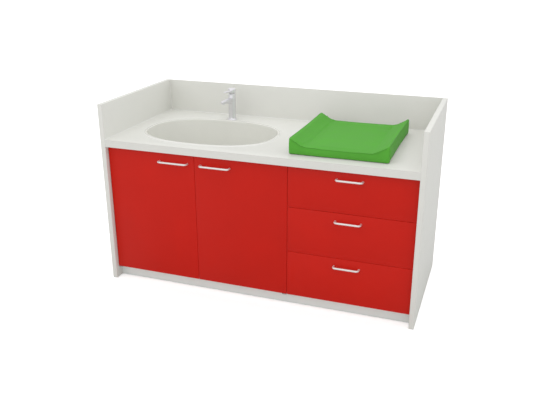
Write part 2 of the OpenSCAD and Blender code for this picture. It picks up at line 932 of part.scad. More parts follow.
// Bent sheet profiles: a centre line with a wall thickness, mitred at its corners
function side_of(a, b) = let (d = (b - a) / norm(b - a)) [-d[1], d[0]];
function mitred(path, i, shift) = let (
    n1 = i > 0 ? side_of(path[i - 1], path[i]) : side_of(path[0], path[1]),
    n2 = i < len(path) - 1 ? side_of(path[i], path[i + 1]) : n1
  ) path[i] + shift * (n1 + n2) / (1 + n1 * n2);
function bent_sheet(path, t) = concat(
  [for (i = [0 : len(path) - 1]) mitred(path, i, t / 2)],
  [for (i = [len(path) - 1 : -1 : 0]) mitred(path, i, -t / 2)]
);

// A channel with return lips: near is its web's outer face, far its lips' outer face
function channel(near, far, half) = let (
    s = slide_sheet / 2,
    lip = half - slide_sheet - slide_lip
  ) [
    [far - s, lip], [far - s, half - s], [near + s, half - s],
    [near + s, -half + s], [far - s, -half + s], [far - s, -lip]
  ];
slide_nest = slide_sheet + slide_slip;
outer_half = slide_h / 2;
outer_far = slide_t - 0.5;
middle_half = outer_half - slide_nest;
middle_far = outer_far - slide_nest;
inner_half = middle_half - slide_nest;
inner_near = 2 * slide_nest;
inner_far = middle_far - slide_nest;
mouth_half = middle_half - slide_sheet - slide_lip - slide_slip;
outer_path = channel(0, outer_far, outer_half);
middle_path = channel(slide_nest, middle_far, middle_half);
hat_path = let (s = slide_sheet / 2) [
  [inner_near, inner_half - s], [inner_far - s, inner_half - s], [inner_far - s, mouth_half - s],
  [slide_t - s, mouth_half - s], [slide_t - s, -mouth_half + s],
  [inner_far - s, -mouth_half + s], [inner_far - s, -inner_half + s],
  [inner_near, -inner_half + s]
];

// The same member on both sides of the drawer bay
module rail_pair(path, z0) {
  z = z0 + box_lift + rail_up + slide_h / 2;
  color(zinc_colour)
    for (side = [0, 1])
      translate([side == 0 ? bay_x0 : bay_x1, slide_y, z])
        mirror([side, 0, 0])
          translate([0, slide_l, 0])
            rotate([90, 0, 0])
              linear_extrude(slide_l)
                polygon(bent_sheet(path, slide_sheet));
}

module upper_drawer_front() { drawer_front(upper_z0, upper_front_h); }
module middle_drawer_front() { drawer_front(middle_z0, middle_front_h); }
module lower_drawer_front() { drawer_front(lower_z0, lower_front_h); }
module upper_drawer_handle() { drawer_handle(upper_z0, upper_front_h); }
module middle_drawer_handle() { drawer_handle(middle_z0, middle_front_h); }
module lower_drawer_handle() { drawer_handle(lower_z0, lower_front_h); }
module upper_drawer_box() { drawer_box(upper_z0, upper_front_h); }
module middle_drawer_box() { drawer_box(middle_z0, middle_front_h); }
module lower_drawer_box() { drawer_box(lower_z0, lower_front_h); }
module upper_cabinet_rails() { rail_pair(outer_path, upper_z0); }
module middle_cabinet_rails() { rail_pair(outer_path, middle_z0); }
module lower_cabinet_rails() { rail_pair(outer_path, lower_z0); }
module upper_middle_rails() { rail_pair(middle_path, upper_z0); }
module middle_middle_rails() { rail_pair(middle_path, middle_z0); }
module lower_middle_rails() { rail_pair(middle_path, lower_z0); }
module upper_drawer_rails() { rail_pair(hat_path, upper_z0); }
module middle_drawer_rails() { rail_pair(hat_path, middle_z0); }
module lower_drawer_rails() { rail_pair(hat_path, lower_z0); }

// Changing pad: a foam mat with a flat middle and two raised sides. Its section is a
// closed outline, swept from front to back; the ends and edges are rounded, the middle
// is crowned, and the sides are drawn in a little between the corners. Each row of the
// outline holds x, the height, and how much of the top's crown and rounding it takes.
pad_edge_r = 5;
pad_crown = 3;
pad_draw = 4;
pad_half = pad_w / 2;
pad_flat = pad_half - pad_wing_w;
ridge_x = pad_half - 1.6 * pad_edge_r;
function pad_top(x) = let (s = max(0, (abs(x) - pad_flat) / (ridge_x - pad_flat)))
  pad_t + (pad_wing_h - pad_t) * pow(s, 1.5);
pad_side = concat(
  [for (k = [1 : 4]) [k / 4 * (pad_half - pad_edge_r), 0, 0]],
  [for (a = [30, 60])
    [pad_half - pad_edge_r * (1 - 0.8 * sin(a)), 0.4 * pad_edge_r * (1 - cos(a)), 0]],
  [for (q = [0.12, 0.35, 0.6, 0.8])
    [pad_half - 3 * abs(q - 0.45), q * pad_top(ridge_x), q]],
  [for (a = [20, 50, 80])
    [ridge_x + 1.4 * pad_edge_r * cos(a),
     pad_top(ridge_x) - 0.8 * pad_edge_r * (1 - sin(a)), 0.8 + 0.2 * sin(a)]],
  [for (k = [7 : -1 : 0])
    let (x = pad_flat + k / 7 * (ridge_x - pad_flat)) [x, pad_top(x), 1]],
  [for (k = [2, 1])
    let (x = k / 3 * pad_flat) [x, pad_top(x), 1]]
);
pad_outline = concat(
  [[0, 0, 0]],
  pad_side,
  [[0, pad_t, 1]],
  [for (i = [len(pad_side) - 1 : -1 : 0]) [-pad_side[i][0], pad_side[i][1], pad_side[i][2]]]
);
pad_stations = concat(
  [for (a = [90 : -30 : 0]) pad_edge_r * (1 - sin(a))],
  [for (k = [1 : 12]) pad_edge_r + (pad_l - 2 * pad_edge_r) * k / 13],
  [for (a = [0 : 30 : 90]) pad_l - pad_edge_r * (1 - sin(a))]
);
function pad_inset(y) = let (d = min(y, pad_l - y) / pad_edge_r)
  d >= 1 ? 0 : pad_edge_r * (1 - sqrt(1 - (1 - d) * (1 - d)));
function pad_ring(y) = let (
    e = pad_inset(y),
    along = 1 - pow(2 * y / pad_l - 1, 2)
  )
  [for (p = pad_outline)
    let (across = max(0, 1 - pow(p[0] / pad_flat, 2)))
    [p[0] * (1 - (e + pad_draw * along) / pad_half), y,
     p[1] + e * (1 - 2 * p[2]) + pad_crown * along * across * p[2]]];

module changing_pad() {
  ys = pad_stations;
  count = len(pad_outline);
  points = concat(
    [for (y = ys) each pad_ring(y)],
    [[0, 0, pad_t / 2], [0, pad_l, pad_t / 2]]
  );
  color(pad_colour)
    translate([-inner_x + pad_x + pad_half, panel_y + pad_y, worktop_z + rest_gap])
      polyhedron(points, skin_faces(len(ys), count));
}

left_side_panel();
right_side_panel();
back_panel();
worktop();
floor_board();
divider_panel();
plinth_board();
rear_plinth();
worktop_battens();
basin_bowl();
waste_flange();
waste_plug();
waste_backnut();
bottle_trap();
trap_cup();
waste_pipe();
tap_body();
tap_aerator();
tap_cartridge();
tap_lever();
tap_fixing_nut();
tap_inlet_tails();
left_door();
right_door();
left_door_handle();
right_door_handle();
left_door_pivots();
right_door_pivots();
left_door_bushes();
right_door_bushes();
door_catches();
left_catch_plate();
right_catch_plate();
upper_drawer_front();
middle_drawer_front();
lower_drawer_front();
upper_drawer_handle();
middle_drawer_handle();
lower_drawer_handle();
upper_drawer_box();
middle_drawer_box();
lower_drawer_box();
upper_cabinet_rails();
middle_cabinet_rails();
lower_cabinet_rails();
upper_middle_rails();
middle_middle_rails();
lower_middle_rails();
upper_drawer_rails();
middle_drawer_rails();
lower_drawer_rails();
changing_pad();
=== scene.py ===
# %% [markdown]
# A changing table with a basin
#
# A white laminated cabinet whose side and back boards rise above the worktop. A large oval
# basin with a mixer tap sits on the left over two red doors, and a green changing pad lies
# on the right over three red drawers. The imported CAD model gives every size; this script
# dresses each piece with the form and finish that show close up, and lights the scene.

# %% Load the frame
import math
import json
import bmesh
import bpy
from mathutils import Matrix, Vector


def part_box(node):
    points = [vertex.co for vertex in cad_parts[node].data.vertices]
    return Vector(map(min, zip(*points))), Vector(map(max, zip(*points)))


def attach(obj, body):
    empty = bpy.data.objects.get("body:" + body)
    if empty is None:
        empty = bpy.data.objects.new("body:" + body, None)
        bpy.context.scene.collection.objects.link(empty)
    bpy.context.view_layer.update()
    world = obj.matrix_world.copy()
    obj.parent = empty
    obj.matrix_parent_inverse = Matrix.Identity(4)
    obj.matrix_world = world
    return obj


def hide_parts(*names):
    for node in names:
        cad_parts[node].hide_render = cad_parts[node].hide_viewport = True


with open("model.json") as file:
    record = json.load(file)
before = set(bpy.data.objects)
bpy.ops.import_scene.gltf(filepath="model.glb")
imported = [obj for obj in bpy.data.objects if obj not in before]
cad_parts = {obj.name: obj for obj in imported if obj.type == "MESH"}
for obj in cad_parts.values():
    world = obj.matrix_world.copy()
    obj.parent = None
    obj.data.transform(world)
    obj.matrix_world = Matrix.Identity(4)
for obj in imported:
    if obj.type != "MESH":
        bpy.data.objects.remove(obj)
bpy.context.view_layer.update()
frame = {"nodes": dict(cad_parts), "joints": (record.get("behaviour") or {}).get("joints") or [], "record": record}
MM = 0.001
record = frame["record"]
body_of = {n: b for b, names in record["behaviour"]["bodies"].items() for n in names}


def in_mm(place):
    """A place in metres, in millimetres and rounded to a thousandth of one."""
    return Vector([round(value / MM, 3) for value in place])


def box_mm(node):
    """The lowest and highest corner of a CAD node, in millimetres."""
    low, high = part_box(node)
    return in_mm(low), in_mm(high)


def joint_mm(name):
    """The place of a joint's axis, in millimetres."""
    return next(in_mm(joint["pos_m"]) for joint in frame["joints"] if joint["name"] == name)


# %% [markdown]
# The photograph was taken from a little right of the middle and from above. The camera's
# place and lens were worked out from the cabinet's straight edges. It comes first, so that
# every later step can be looked at through it. A long lens moved back would flatten the
# cabinet, so the lens is kept and nothing is cropped or shifted.

# %% Camera
camera_data = bpy.data.cameras.new("camera")
camera_data.sensor_width = 36
camera_data.lens = 43.46
camera_data.clip_end = 100
camera = bpy.data.objects.new("camera", camera_data)
bpy.context.scene.collection.objects.link(camera)
camera.location = (1.1499, -3.2761, 1.7535)
camera.rotation_euler = (math.radians(69.31), 0, math.radians(19.37))
bpy.context.scene.camera = camera
print("camera at", tuple(camera.location))

# %% [markdown]
# Most steps select one object, change some of its faces, and apply a modifier. These small
# helpers do that. Operators act on whatever is selected, and loading the frame leaves the
# CAD pieces selected, so each helper first clears the selection.

# %% Helpers for whole objects
def only(piece):
    """Leaves one object selected and active, in object mode."""
    if bpy.context.mode != "OBJECT":
        bpy.ops.object.mode_set(mode="OBJECT")
    bpy.ops.object.select_all(action="DESELECT")
    piece.select_set(True)
    bpy.context.view_layer.objects.active = piece


def start(primitive, **values):
    """Adds a primitive with nothing else selected."""
    bpy.ops.object.select_all(action="DESELECT")
    primitive(**values)
    return bpy.context.object


def settle(piece):
    """Moves an object's place, turn and size into its mesh."""
    only(piece)
    bpy.ops.object.transform_apply(location=True, rotation=True, scale=True)


def block(centre, size):
    """A block around a centre, both in mm, for later steps to shape."""
    piece = start(bpy.ops.mesh.primitive_cube_add, size=1, location=[value * MM for value in centre])
    piece.scale = [value * MM for value in size]
    settle(piece)
    return piece


def modify(piece, kind, **values):
    """Adds a modifier with the given values and applies it."""
    only(piece)
    bpy.ops.object.modifier_add(type=kind)
    modifier = piece.modifiers[-1]
    for key, value in values.items():
        setattr(modifier, key, value)
    bpy.ops.object.modifier_apply(modifier=modifier.name)


def bevel(piece, width, segments, degrees):
    """Rounds the edges sharper than an angle, by a width in mm."""
    modify(piece, "BEVEL", width=width * MM, segments=segments, limit_method="ANGLE",
           angle_limit=math.radians(degrees))


def smooth(piece, degrees=35):
    """Smooth shading except over edges sharper than the given angle."""
    only(piece)
    bpy.ops.object.shade_smooth_by_angle(angle=math.radians(degrees))


# %% Helpers for edit mode
def pick(piece, test, kind="FACE"):
    """Selects the faces or edges that pass a test."""
    bpy.ops.mesh.select_mode(type=kind)
    bpy.ops.mesh.select_all(action="DESELECT")
    mesh = bmesh.from_edit_mesh(piece.data)
    for part in {"FACE": mesh.faces, "EDGE": mesh.edges}[kind]:
        if test(part):
            part.select_set(True)
    mesh.select_flush_mode()
    bmesh.update_edit_mesh(piece.data)


def pull(x=0.0, y=0.0, z=0.0):
    """Extrudes what is selected, by a distance in metres along each axis."""
    bpy.ops.mesh.extrude_region_move(TRANSFORM_OT_translate={"value": (x, y, z)})


def face_outwards():
    """Turns all faces outwards and leaves edit mode."""
    bpy.ops.mesh.select_all(action="SELECT")
    bpy.ops.mesh.normals_make_consistent(inside=False)
    bpy.ops.object.mode_set(mode="OBJECT")


# %% [markdown]
# A finished piece sits at the origin with its place in its mesh, rides on one of the CAD
# model's bodies, takes its finish, and hides the CAD nodes it stands for. One helper
# does all of this, so that no piece can miss a step. Most pieces stand for one node, whose
# body the record knows.

# %% Finishing helpers
def finish(piece, name, body, material, stands_for=()):
    """Settles and names a piece, gives it its finish, ties it to its body and hides its CAD nodes."""
    settle(piece)
    piece.name = name
    piece.data.name = name
    piece.data.materials.clear()
    piece.data.materials.append(material)
    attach(piece, body)
    if stands_for:
        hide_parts(*stands_for)
    print(name, len(piece.data.polygons), "faces")


def stand_in(piece, node, material, ending="_finished"):
    """Finishes a piece that stands for one CAD node."""
    finish(piece, node + ending, body_of[node], material, (node,))


# %% [markdown]
# Real boards, sheets and mouldings have no knife-sharp edges: a laminated board's edge is
# broken by a fraction of a millimetre, and that thin bevel is what catches the light. The
# CAD meshes are loose triangles, so a copy is merged, its flat triangles are dissolved into
# whole faces, and a narrow bevel is put on its sharp edges. Modelling each board again
# would give the same shape with more chances of an error.

# %% Softened copy of a CAD piece
MERGE, FLAT_ANGLE, SHARP_ANGLE = 0.005, 1, 30


def softened(node, material, width, segments=2):
    """A merged copy of a CAD node with bevels of a width in mm, which stands for the node."""
    piece = bpy.data.objects.new(node + "_finished", frame["nodes"][node].data.copy())
    bpy.context.scene.collection.objects.link(piece)
    only(piece)
    bpy.ops.object.mode_set(mode="EDIT")
    bpy.ops.mesh.select_all(action="SELECT")
    bpy.ops.mesh.remove_doubles(threshold=MERGE * MM)
    bpy.ops.mesh.dissolve_limited(angle_limit=math.radians(FLAT_ANGLE))
    bpy.ops.object.mode_set(mode="OBJECT")
    bevel(piece, width, segments, SHARP_ANGLE)
    smooth(piece)
    stand_in(piece, node, material)


# %% [markdown]
# Light and floor
#
# The cabinet stands in a white studio. The floor is a wide pale sheet, and a soft white sky
# lights everything evenly. A large lamp from above makes the tops a little lighter than the
# upright faces, as in the photograph, and a weaker one from the front left lifts the doors.
# Many small lamps would give hard shadows that the photograph doesn't have. The camera
# sees the sky a little brighter than the sky lights, so that the backdrop is plain white
# from every side. The plain Standard view keeps the reds strong.

# %% Sky
scene = bpy.context.scene
scene.view_settings.view_transform = "Standard"
SKY_LIGHT, SKY_SEEN = 0.97, 1.1
sky = bpy.data.worlds.new("studio")
scene.world = sky
sky.use_nodes = True
backdrop = sky.node_tree.nodes["Background"]
backdrop.inputs["Color"].default_value = (1.0, 1.0, 1.0, 1.0)
ray = sky.node_tree.nodes.new("ShaderNodeLightPath")
strength = sky.node_tree.nodes.new("ShaderNodeMapRange")
strength.inputs["To Min"].default_value = SKY_LIGHT
strength.inputs["To Max"].default_value = SKY_SEEN
sky.node_tree.links.new(ray.outputs["Is Camera Ray"], strength.inputs["Value"])
sky.node_tree.links.new(strength.outputs["Result"], backdrop.inputs["Strength"])
print("sky strength", SKY_LIGHT)


# %% Lamps and floor
def lamp(name, place, target, width, depth, power):
    """A soft rectangular lamp that looks at a point, in metres and watts."""
    data = bpy.data.lights.new(name, "AREA")
    data.shape = "RECTANGLE"
    data.size, data.size_y = width, depth
    data.energy = power
    made = bpy.data.objects.new(name, data)
    scene.collection.objects.link(made)
    made.location = place
    made.rotation_euler = (Vector(target) - Vector(place)).to_track_quat("-Z", "Y").to_euler()


lamp("ceiling_lamp", (0.3, -0.4, 4.6), (0, 0, 0.6), width=5.0, depth=4.0, power=35)
lamp("front_lamp", (-1.5, -5.0, 2.4), (0, 0, 0.5), width=3.0, depth=2.0, power=17)
FLOOR_SIZE, FLOOR_DROP = 60, 0.0005
floor = start(bpy.ops.mesh.primitive_grid_add, x_subdivisions=4, y_subdivisions=4, size=FLOOR_SIZE,
              location=(0, 0, -FLOOR_DROP))
floor.name = "floor"
print("floor", floor.dimensions[:2])

# %% [markdown]
# Finishes
#
# Every finish is a small network of nodes. What several finishes share, such as uneven
# tone, fine relief and the glue line of an edge band, is built once as a group and placed
# in each material with its own numbers. Noise read from Object coordinates keeps its true
# scale in metres on every piece.

# %% Node helpers
def add(tree, kind, inputs=None, **values):
    """A node with its settings and its unlinked input values."""
    made = tree.nodes.new(kind)
    for key, value in values.items():
        setattr(made, key, value)
    for key, value in (inputs or {}).items():
        made.inputs[key].default_value = value
    return made


def join(tree, *pairs):
    """Links (node, socket) to (node, socket), pair by pair."""
    for (source, out_name), (target, in_name) in pairs:
        tree.links.new(source.outputs[out_name], target.inputs[in_name])


def group(name, inputs, outputs):
    """An empty node group with its input and output nodes."""
    tree = bpy.data.node_groups.new(name, "ShaderNodeTree")
    for label, kind, value in inputs:
        socket = tree.interface.new_socket(name=label, in_out="INPUT", socket_type=kind)
        if value is not None:
            socket.default_value = value
    for label, kind in outputs:
        tree.interface.new_socket(name=label, in_out="OUTPUT", socket_type=kind)
    return tree, tree.nodes.new("NodeGroupInput"), tree.nodes.new("NodeGroupOutput")


FLOAT, VECTOR, COLOUR = "NodeSocketFloat", "NodeSocketVector", "NodeSocketColor"


def math_node(tree, operation, *values):
    """A Math node whose inputs are numbers or (node, socket) pairs."""
    made = add(tree, "ShaderNodeMath", operation=operation)
    for index, value in enumerate(values):
        if isinstance(value, tuple):
            tree.links.new(value[0].outputs[value[1]], made.inputs[index])
        else:
            made.inputs[index].default_value = value
    return made


# %% [markdown]
# No surface has quite one colour. This group shifts a colour a little lighter and darker
# in soft patches of a given size, and gives the same patches as a mask for the gloss.

# %% Uneven tone group
tone, tone_in, tone_out = group(
    "uneven_tone",
    [("Coordinate", VECTOR, None), ("Colour", COLOUR, (0.8, 0.8, 0.8, 1)),
     ("Amount", FLOAT, 0.05), ("Patches per metre", FLOAT, 6.0)],
    [("Colour", COLOUR), ("Mask", FLOAT)])
patches = add(tone, "ShaderNodeTexNoise", {"Detail": 5.0, "Roughness": 0.6})
spread = add(tone, "ShaderNodeMapRange", {"From Min": 0.3, "From Max": 0.7})
swing = math_node(tone, "MULTIPLY_ADD", (spread, "Result"), 2.0, -1.0)
gain = math_node(tone, "MULTIPLY", (swing, "Value"), (tone_in, "Amount"))
level = math_node(tone, "ADD", (gain, "Value"), 1.0)
tinted = add(tone, "ShaderNodeVectorMath", operation="SCALE")
join(tone, ((tone_in, "Coordinate"), (patches, "Vector")),
     ((tone_in, "Patches per metre"), (patches, "Scale")),
     ((patches, "Fac"), (spread, "Value")), ((tone_in, "Colour"), (tinted, 0)),
     ((level, "Value"), (tinted, "Scale")), ((tinted, "Vector"), (tone_out, "Colour")),
     ((spread, "Result"), (tone_out, "Mask")))
print("group", tone.name)

# %% [markdown]
# A laminated board is pressed on its faces, and then a thin band is glued round its edges.
# The glue line shows as a fine darker line just in from each edge, and a lighter colour
# along the edge itself is a painted highlight. The distance to the nearest edge of a board
# is the second smallest distance to its six sides, because the smallest is the face that
# the point lies on. How far a point is from the nearer of two opposite sides is needed
# again for plywood, so it is a helper.

# %% Board edge group
CORNERS = [("Coordinate", VECTOR, None), ("Low corner", VECTOR, None), ("High corner", VECTOR, None)]


def depths(tree, inputs):
    """The distance to the nearer side along X, Y and Z, as one node with three outputs."""
    from_low = add(tree, "ShaderNodeVectorMath", operation="SUBTRACT")
    to_high = add(tree, "ShaderNodeVectorMath", operation="SUBTRACT")
    nearest = add(tree, "ShaderNodeVectorMath", operation="MINIMUM")
    axes = add(tree, "ShaderNodeSeparateXYZ")
    join(tree, ((inputs, "Coordinate"), (from_low, 0)), ((inputs, "Low corner"), (from_low, 1)),
         ((inputs, "High corner"), (to_high, 0)), ((inputs, "Coordinate"), (to_high, 1)),
         ((from_low, "Vector"), (nearest, 0)), ((to_high, "Vector"), (nearest, 1)),
         ((nearest, "Vector"), (axes, "Vector")))
    return axes


edges, edges_in, edges_out = group(
    "board_edges", CORNERS + [("Band", FLOAT, 0.0012)], [("Glue line", FLOAT), ("Painted edge highlight", FLOAT)])
axes = depths(edges, edges_in)
least = math_node(edges, "MINIMUM", (axes, "X"), (axes, "Y"))
most = math_node(edges, "MAXIMUM", (axes, "X"), (axes, "Y"))
middle = math_node(edges, "MINIMUM", (most, "Value"), (axes, "Z"))
distance = math_node(edges, "MAXIMUM", (least, "Value"), (middle, "Value"))
off_line = math_node(edges, "SUBTRACT", (distance, "Value"), (edges_in, "Band"))
off_line = math_node(edges, "ABSOLUTE", (off_line, "Value"))
line = add(edges, "ShaderNodeMapRange",
           {"From Min": 0.00012, "From Max": 0.0004, "To Min": 1.0, "To Max": 0.0})
# Lighter colour along each edge: a painted highlight.
edge_highlight_ramp = add(edges, "ShaderNodeMapRange", {"From Min": 0.0, "From Max": 0.0016, "To Min": 1.0, "To Max": 0.0})
join(edges, ((off_line, "Value"), (line, "Value")), ((distance, "Value"), (edge_highlight_ramp, "Value")),
     ((line, "Result"), (edges_out, "Glue line")), ((edge_highlight_ramp, "Result"), (edges_out, "Painted edge highlight")))
print("group", edges.name)

# %% [markdown]
# Fine relief, such as the soft orange peel of laminate, the grain of a coated cloth or the
# lines of brushed metal, is the same idea at different scales: small cells blended with a
# noise, both stretched more or less along one direction, that drive a Bump node.

# %% Fine relief group
relief, relief_in, relief_out = group(
    "fine_relief",
    [("Coordinate", VECTOR, None), ("Stretch", VECTOR, (1, 1, 1)), ("Grains per metre", FLOAT, 900.0),
     ("Softness", FLOAT, 0.5)],
    [("Height", FLOAT)])
stretch = add(relief, "ShaderNodeVectorMath", operation="MULTIPLY")
coarse = add(relief, "ShaderNodeTexNoise", {"Detail": 2.0, "Roughness": 0.5})
cells = add(relief, "ShaderNodeTexVoronoi", feature="SMOOTH_F1")
blend = add(relief, "ShaderNodeMix", data_type="FLOAT")
join(relief, ((relief_in, "Coordinate"), (stretch, 0)), ((relief_in, "Stretch"), (stretch, 1)),
     ((stretch, "Vector"), (coarse, "Vector")), ((stretch, "Vector"), (cells, "Vector")),
     ((relief_in, "Grains per metre"), (coarse, "Scale")),
     ((relief_in, "Grains per metre"), (cells, "Scale")),
     ((relief_in, "Softness"), (blend, "Factor")),
     ((cells, "Distance"), (blend, "A")), ((coarse, "Fac"), (blend, "B")),
     ((blend, "Result"), (relief_out, "Height")))
print("group", relief.name)


# %% [markdown]
# All finishes start the same way: a Principled surface whose colour and gloss come through
# the tone group, and whose fine relief comes through a Bump node. Each material then sets
# its own constants on the Principled node's sockets. Several sockets of a Mix node have the
# same name, so they are picked by number.

# %% Base finish
FACTOR, VECTOR_A, VECTOR_B, COLOUR_A, COLOUR_B = 0, 4, 5, 6, 7
VECTOR_OUT, COLOUR_OUT = 1, 2


def finish_nodes(name, colour, amount, patches, gloss, swing, grains, depth, stretched=(1, 1, 1),
                 softness=0.5, **constants):
    """A Principled material with uneven tone, uneven gloss and relief of a depth in mm."""
    made = bpy.data.materials.new(name)
    made.use_nodes = True
    tree = made.node_tree
    surface = tree.nodes["Principled BSDF"]
    for key, value in constants.items():
        surface.inputs[key.replace("_", " ")].default_value = value
    place = add(tree, "ShaderNodeTexCoord")
    toned = add(tree, "ShaderNodeGroup", {"Colour": (*colour, 1), "Amount": amount,
                                          "Patches per metre": patches}, node_tree=tone)
    rough = add(tree, "ShaderNodeMapRange", {"To Min": gloss - swing, "To Max": gloss + swing})
    fine = add(tree, "ShaderNodeGroup", {"Stretch": stretched, "Grains per metre": grains,
                                         "Softness": softness}, node_tree=relief)
    bump = add(tree, "ShaderNodeBump", {"Strength": 1.0, "Distance": depth * MM})
    join(tree, ((place, "Object"), (toned, "Coordinate")), ((place, "Object"), (fine, "Coordinate")),
         ((toned, "Colour"), (surface, "Base Color")), ((toned, "Mask"), (rough, "Value")),
         ((rough, "Result"), (surface, "Roughness")), ((fine, "Height"), (bump, "Height")),
         ((bump, "Normal"), (surface, "Normal")))
    return made, tree, surface, toned, place


def laid_over(tree, below, mask, colour):
    """Lays a constant colour over a (node, socket) colour where the mask is high."""
    made = add(tree, "ShaderNodeMix", {COLOUR_B: (*colour, 1)}, data_type="RGBA")
    join(tree, (mask, (made, FACTOR)), (below, (made, COLOUR_A)))
    return made, COLOUR_OUT


def fitted(tree, network, node, place):
    """A group node that knows the corners of one CAD node and reads Object coordinates."""
    low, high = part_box(node)
    made = add(tree, "ShaderNodeGroup", {"Low corner": low, "High corner": high}, node_tree=network)
    join(tree, ((place, "Object"), (made, "Coordinate")))
    return made


# %% [markdown]
# The laminate is a printed paper under a clear resin, pressed against a satin plate. It is
# almost even in tone, with a soft orange peel. Each board has a material of its own,
# because the glue line and the painted edge highlight need that board's corners. The red
# fronts' edge band is plain dyed plastic with a fainter glue line. It covers the faces that
# don't look forwards or backwards. Its red is clearer and lighter than the face's, partly as
# painted light that lifts the shade in the joints between the fronts, so they don't look black.

# %% Laminate
# The plinth's whiter colour is painted light against the fronts' shade.
WHITE, PLINTH_WHITE_PAINTED_LIGHT = (0.727, 0.728, 0.686), (0.800, 0.835, 0.805)
# The band's red is lighter than the face's red, partly as painted light in the joints between the fronts.
RED, RED_BAND_PAINTED_LIGHT = (0.565, 0.0095, 0.0024), (0.76, 0.016, 0.004)
# The gain, lift and share of the lighter edge colour set a painted highlight along every board's edge.
GLUE_SHADE, HIGHLIGHT_GAIN, HIGHLIGHT_LIFT, HIGHLIGHT_SHARE, FRONTAL = 0.62, 1.04, 0.02, 0.5, 0.5


def banded(tree, below, band):
    """Lays the band's colour, partly painted light, over the faces that look sideways, up or down."""
    shape = add(tree, "ShaderNodeNewGeometry")
    facing = add(tree, "ShaderNodeSeparateXYZ")
    forward = math_node(tree, "ABSOLUTE", (facing, "Y"))
    on_band = math_node(tree, "LESS_THAN", (forward, "Value"), FRONTAL)
    join(tree, ((shape, "Normal"), (facing, "Vector")))
    return laid_over(tree, below, (on_band, "Value"), band)


def laminate(node, colour, amount=0.012, specular=0.4, band=None, glue=0.5):
    """Satin laminate with a glue line and a painted edge highlight that follow one board."""
    made, tree, surface, toned, place = finish_nodes(
        "laminate_" + node, colour, amount, patches=5.0, gloss=0.42, swing=0.05, grains=650.0,
        depth=0.012, softness=0.85, Specular_IOR_Level=specular)
    edge = fitted(tree, edges, node, place)
    glued = math_node(tree, "MULTIPLY", (edge, "Glue line"), glue)
    # A painted highlight lies along each edge of the board.
    painted_highlight = math_node(tree, "MULTIPLY", (edge, "Painted edge highlight"), HIGHLIGHT_SHARE)
    below = banded(tree, (toned, "Colour"), band) if band else (toned, "Colour")
    lined = laid_over(tree, below, (glued, "Value"), [v * GLUE_SHADE for v in colour])
    highlighted = laid_over(tree, lined, (painted_highlight, "Value"),
                       [min(1, v * HIGHLIGHT_GAIN + HIGHLIGHT_LIFT) for v in band or colour])
    join(tree, (highlighted, (surface, "Base Color")))
    return made


# %% [markdown]
# Cabinet boards
#
# The side panels, back, worktop, floor board, divider and plinth are laminated chipboard.
# Each is a softened copy of its CAD board with a bevel of under a millimetre. The worktop
# keeps its oval cut-out, tap hole and pivot pockets. The plinth stands in the fronts' shade,
# and its laminate colour is painted whiter to lift that shade: painted light.

# %% White boards
for node in ("left_side_panel", "right_side_panel", "back_panel", "worktop", "floor_board",
             "divider_panel", "rear_plinth"):
    softened(node, laminate(node, WHITE), width=0.7)
# Painted light: a whiter plinth colour against the fronts' shade.
softened("plinth_board", laminate("plinth_board", PLINTH_WHITE_PAINTED_LIGHT), width=0.7)

# %% Red doors and drawer fronts
for node in ("left_door", "right_door", "upper_drawer_front", "middle_drawer_front", "lower_drawer_front"):
    # The band's lighter red is partly painted light in the joints between the fronts.
    softened(node, laminate(node, RED, amount=0.03, specular=0.2, band=RED_BAND_PAINTED_LIGHT, glue=0.15), width=0.4)


# %% [markdown]
# Basin
#
# The basin is one sheet of white acrylic, drawn down over a form: a thin lip that lies on
# the worktop, a wall that leans in a little, a wide soft curve and a floor that falls to
# the waste. Its outline lies between an ellipse and a rectangle. A ring of points is moved
# onto that outline once, and then extruded and resized from ring to ring, which keeps the
# rings even. Carving it from a block would leave no wall thickness underneath.

# %% Basin sizes and the oval sweep
LIP, SQUARENESS = 13.0, 2.4
TOP = box_mm("worktop")[1].z
bowl_low, bowl_high = box_mm("basin_bowl")
BOWL_X, BOWL_Y = (bowl_low.x + bowl_high.x) / 2, (bowl_low.y + bowl_high.y) / 2
MOUTH_A, MOUTH_B = (bowl_high.x - bowl_low.x) / 2 - LIP, (bowl_high.y - bowl_low.y) / 2 - LIP
print("basin's mouth in mm:", 2 * MOUTH_A, "by", 2 * MOUTH_B)


def swept_oval(profile, points=96):
    """A closed skin: a ring carried along a profile of ((half length, half width), height)."""
    (a, b), height = profile[0]
    piece = start(bpy.ops.mesh.primitive_circle_add, vertices=points, radius=1, fill_type="NOTHING",
                  location=(BOWL_X * MM, BOWL_Y * MM, height * MM))
    for vertex in piece.data.vertices:
        angle = math.atan2(vertex.co.y, vertex.co.x)
        c, s = math.cos(angle), math.sin(angle)
        vertex.co.x = math.copysign(abs(c) ** (2 / SQUARENESS), c)
        vertex.co.y = math.copysign(abs(s) ** (2 / SQUARENESS), s)
    bpy.ops.object.mode_set(mode="EDIT")
    bpy.ops.mesh.select_all(action="SELECT")
    bpy.ops.transform.resize(value=(a * MM, b * MM, 1), center_override=piece.location)
    for (new_a, new_b), level in profile[1:]:
        pull(z=(level - height) * MM)
        bpy.ops.transform.resize(value=(new_a / a, new_b / b, 1),
                                 center_override=(BOWL_X * MM, BOWL_Y * MM, level * MM))
        a, b, height = new_a, new_b, level
    pick(piece, lambda edge: edge.is_boundary, "EDGE")
    bpy.ops.mesh.bridge_edge_loops()
    face_outwards()
    return piece


# %% Basin finish and mesh
acrylic, *_ = finish_nodes("basin_acrylic", (0.742, 0.742, 0.695), amount=0.015, patches=7.0, gloss=0.16,
                           swing=0.05, grains=220.0, depth=0.006, softness=1.0, Coat_Weight=0.4,
                           Coat_Roughness=0.05)
LEAN, WALL, CURVE, SHEET = 16, 150, 62, 5


def off(distance):
    """Half length and half width of the ring that lies this far outside the mouth."""
    return MOUTH_A + distance, MOUTH_B + distance


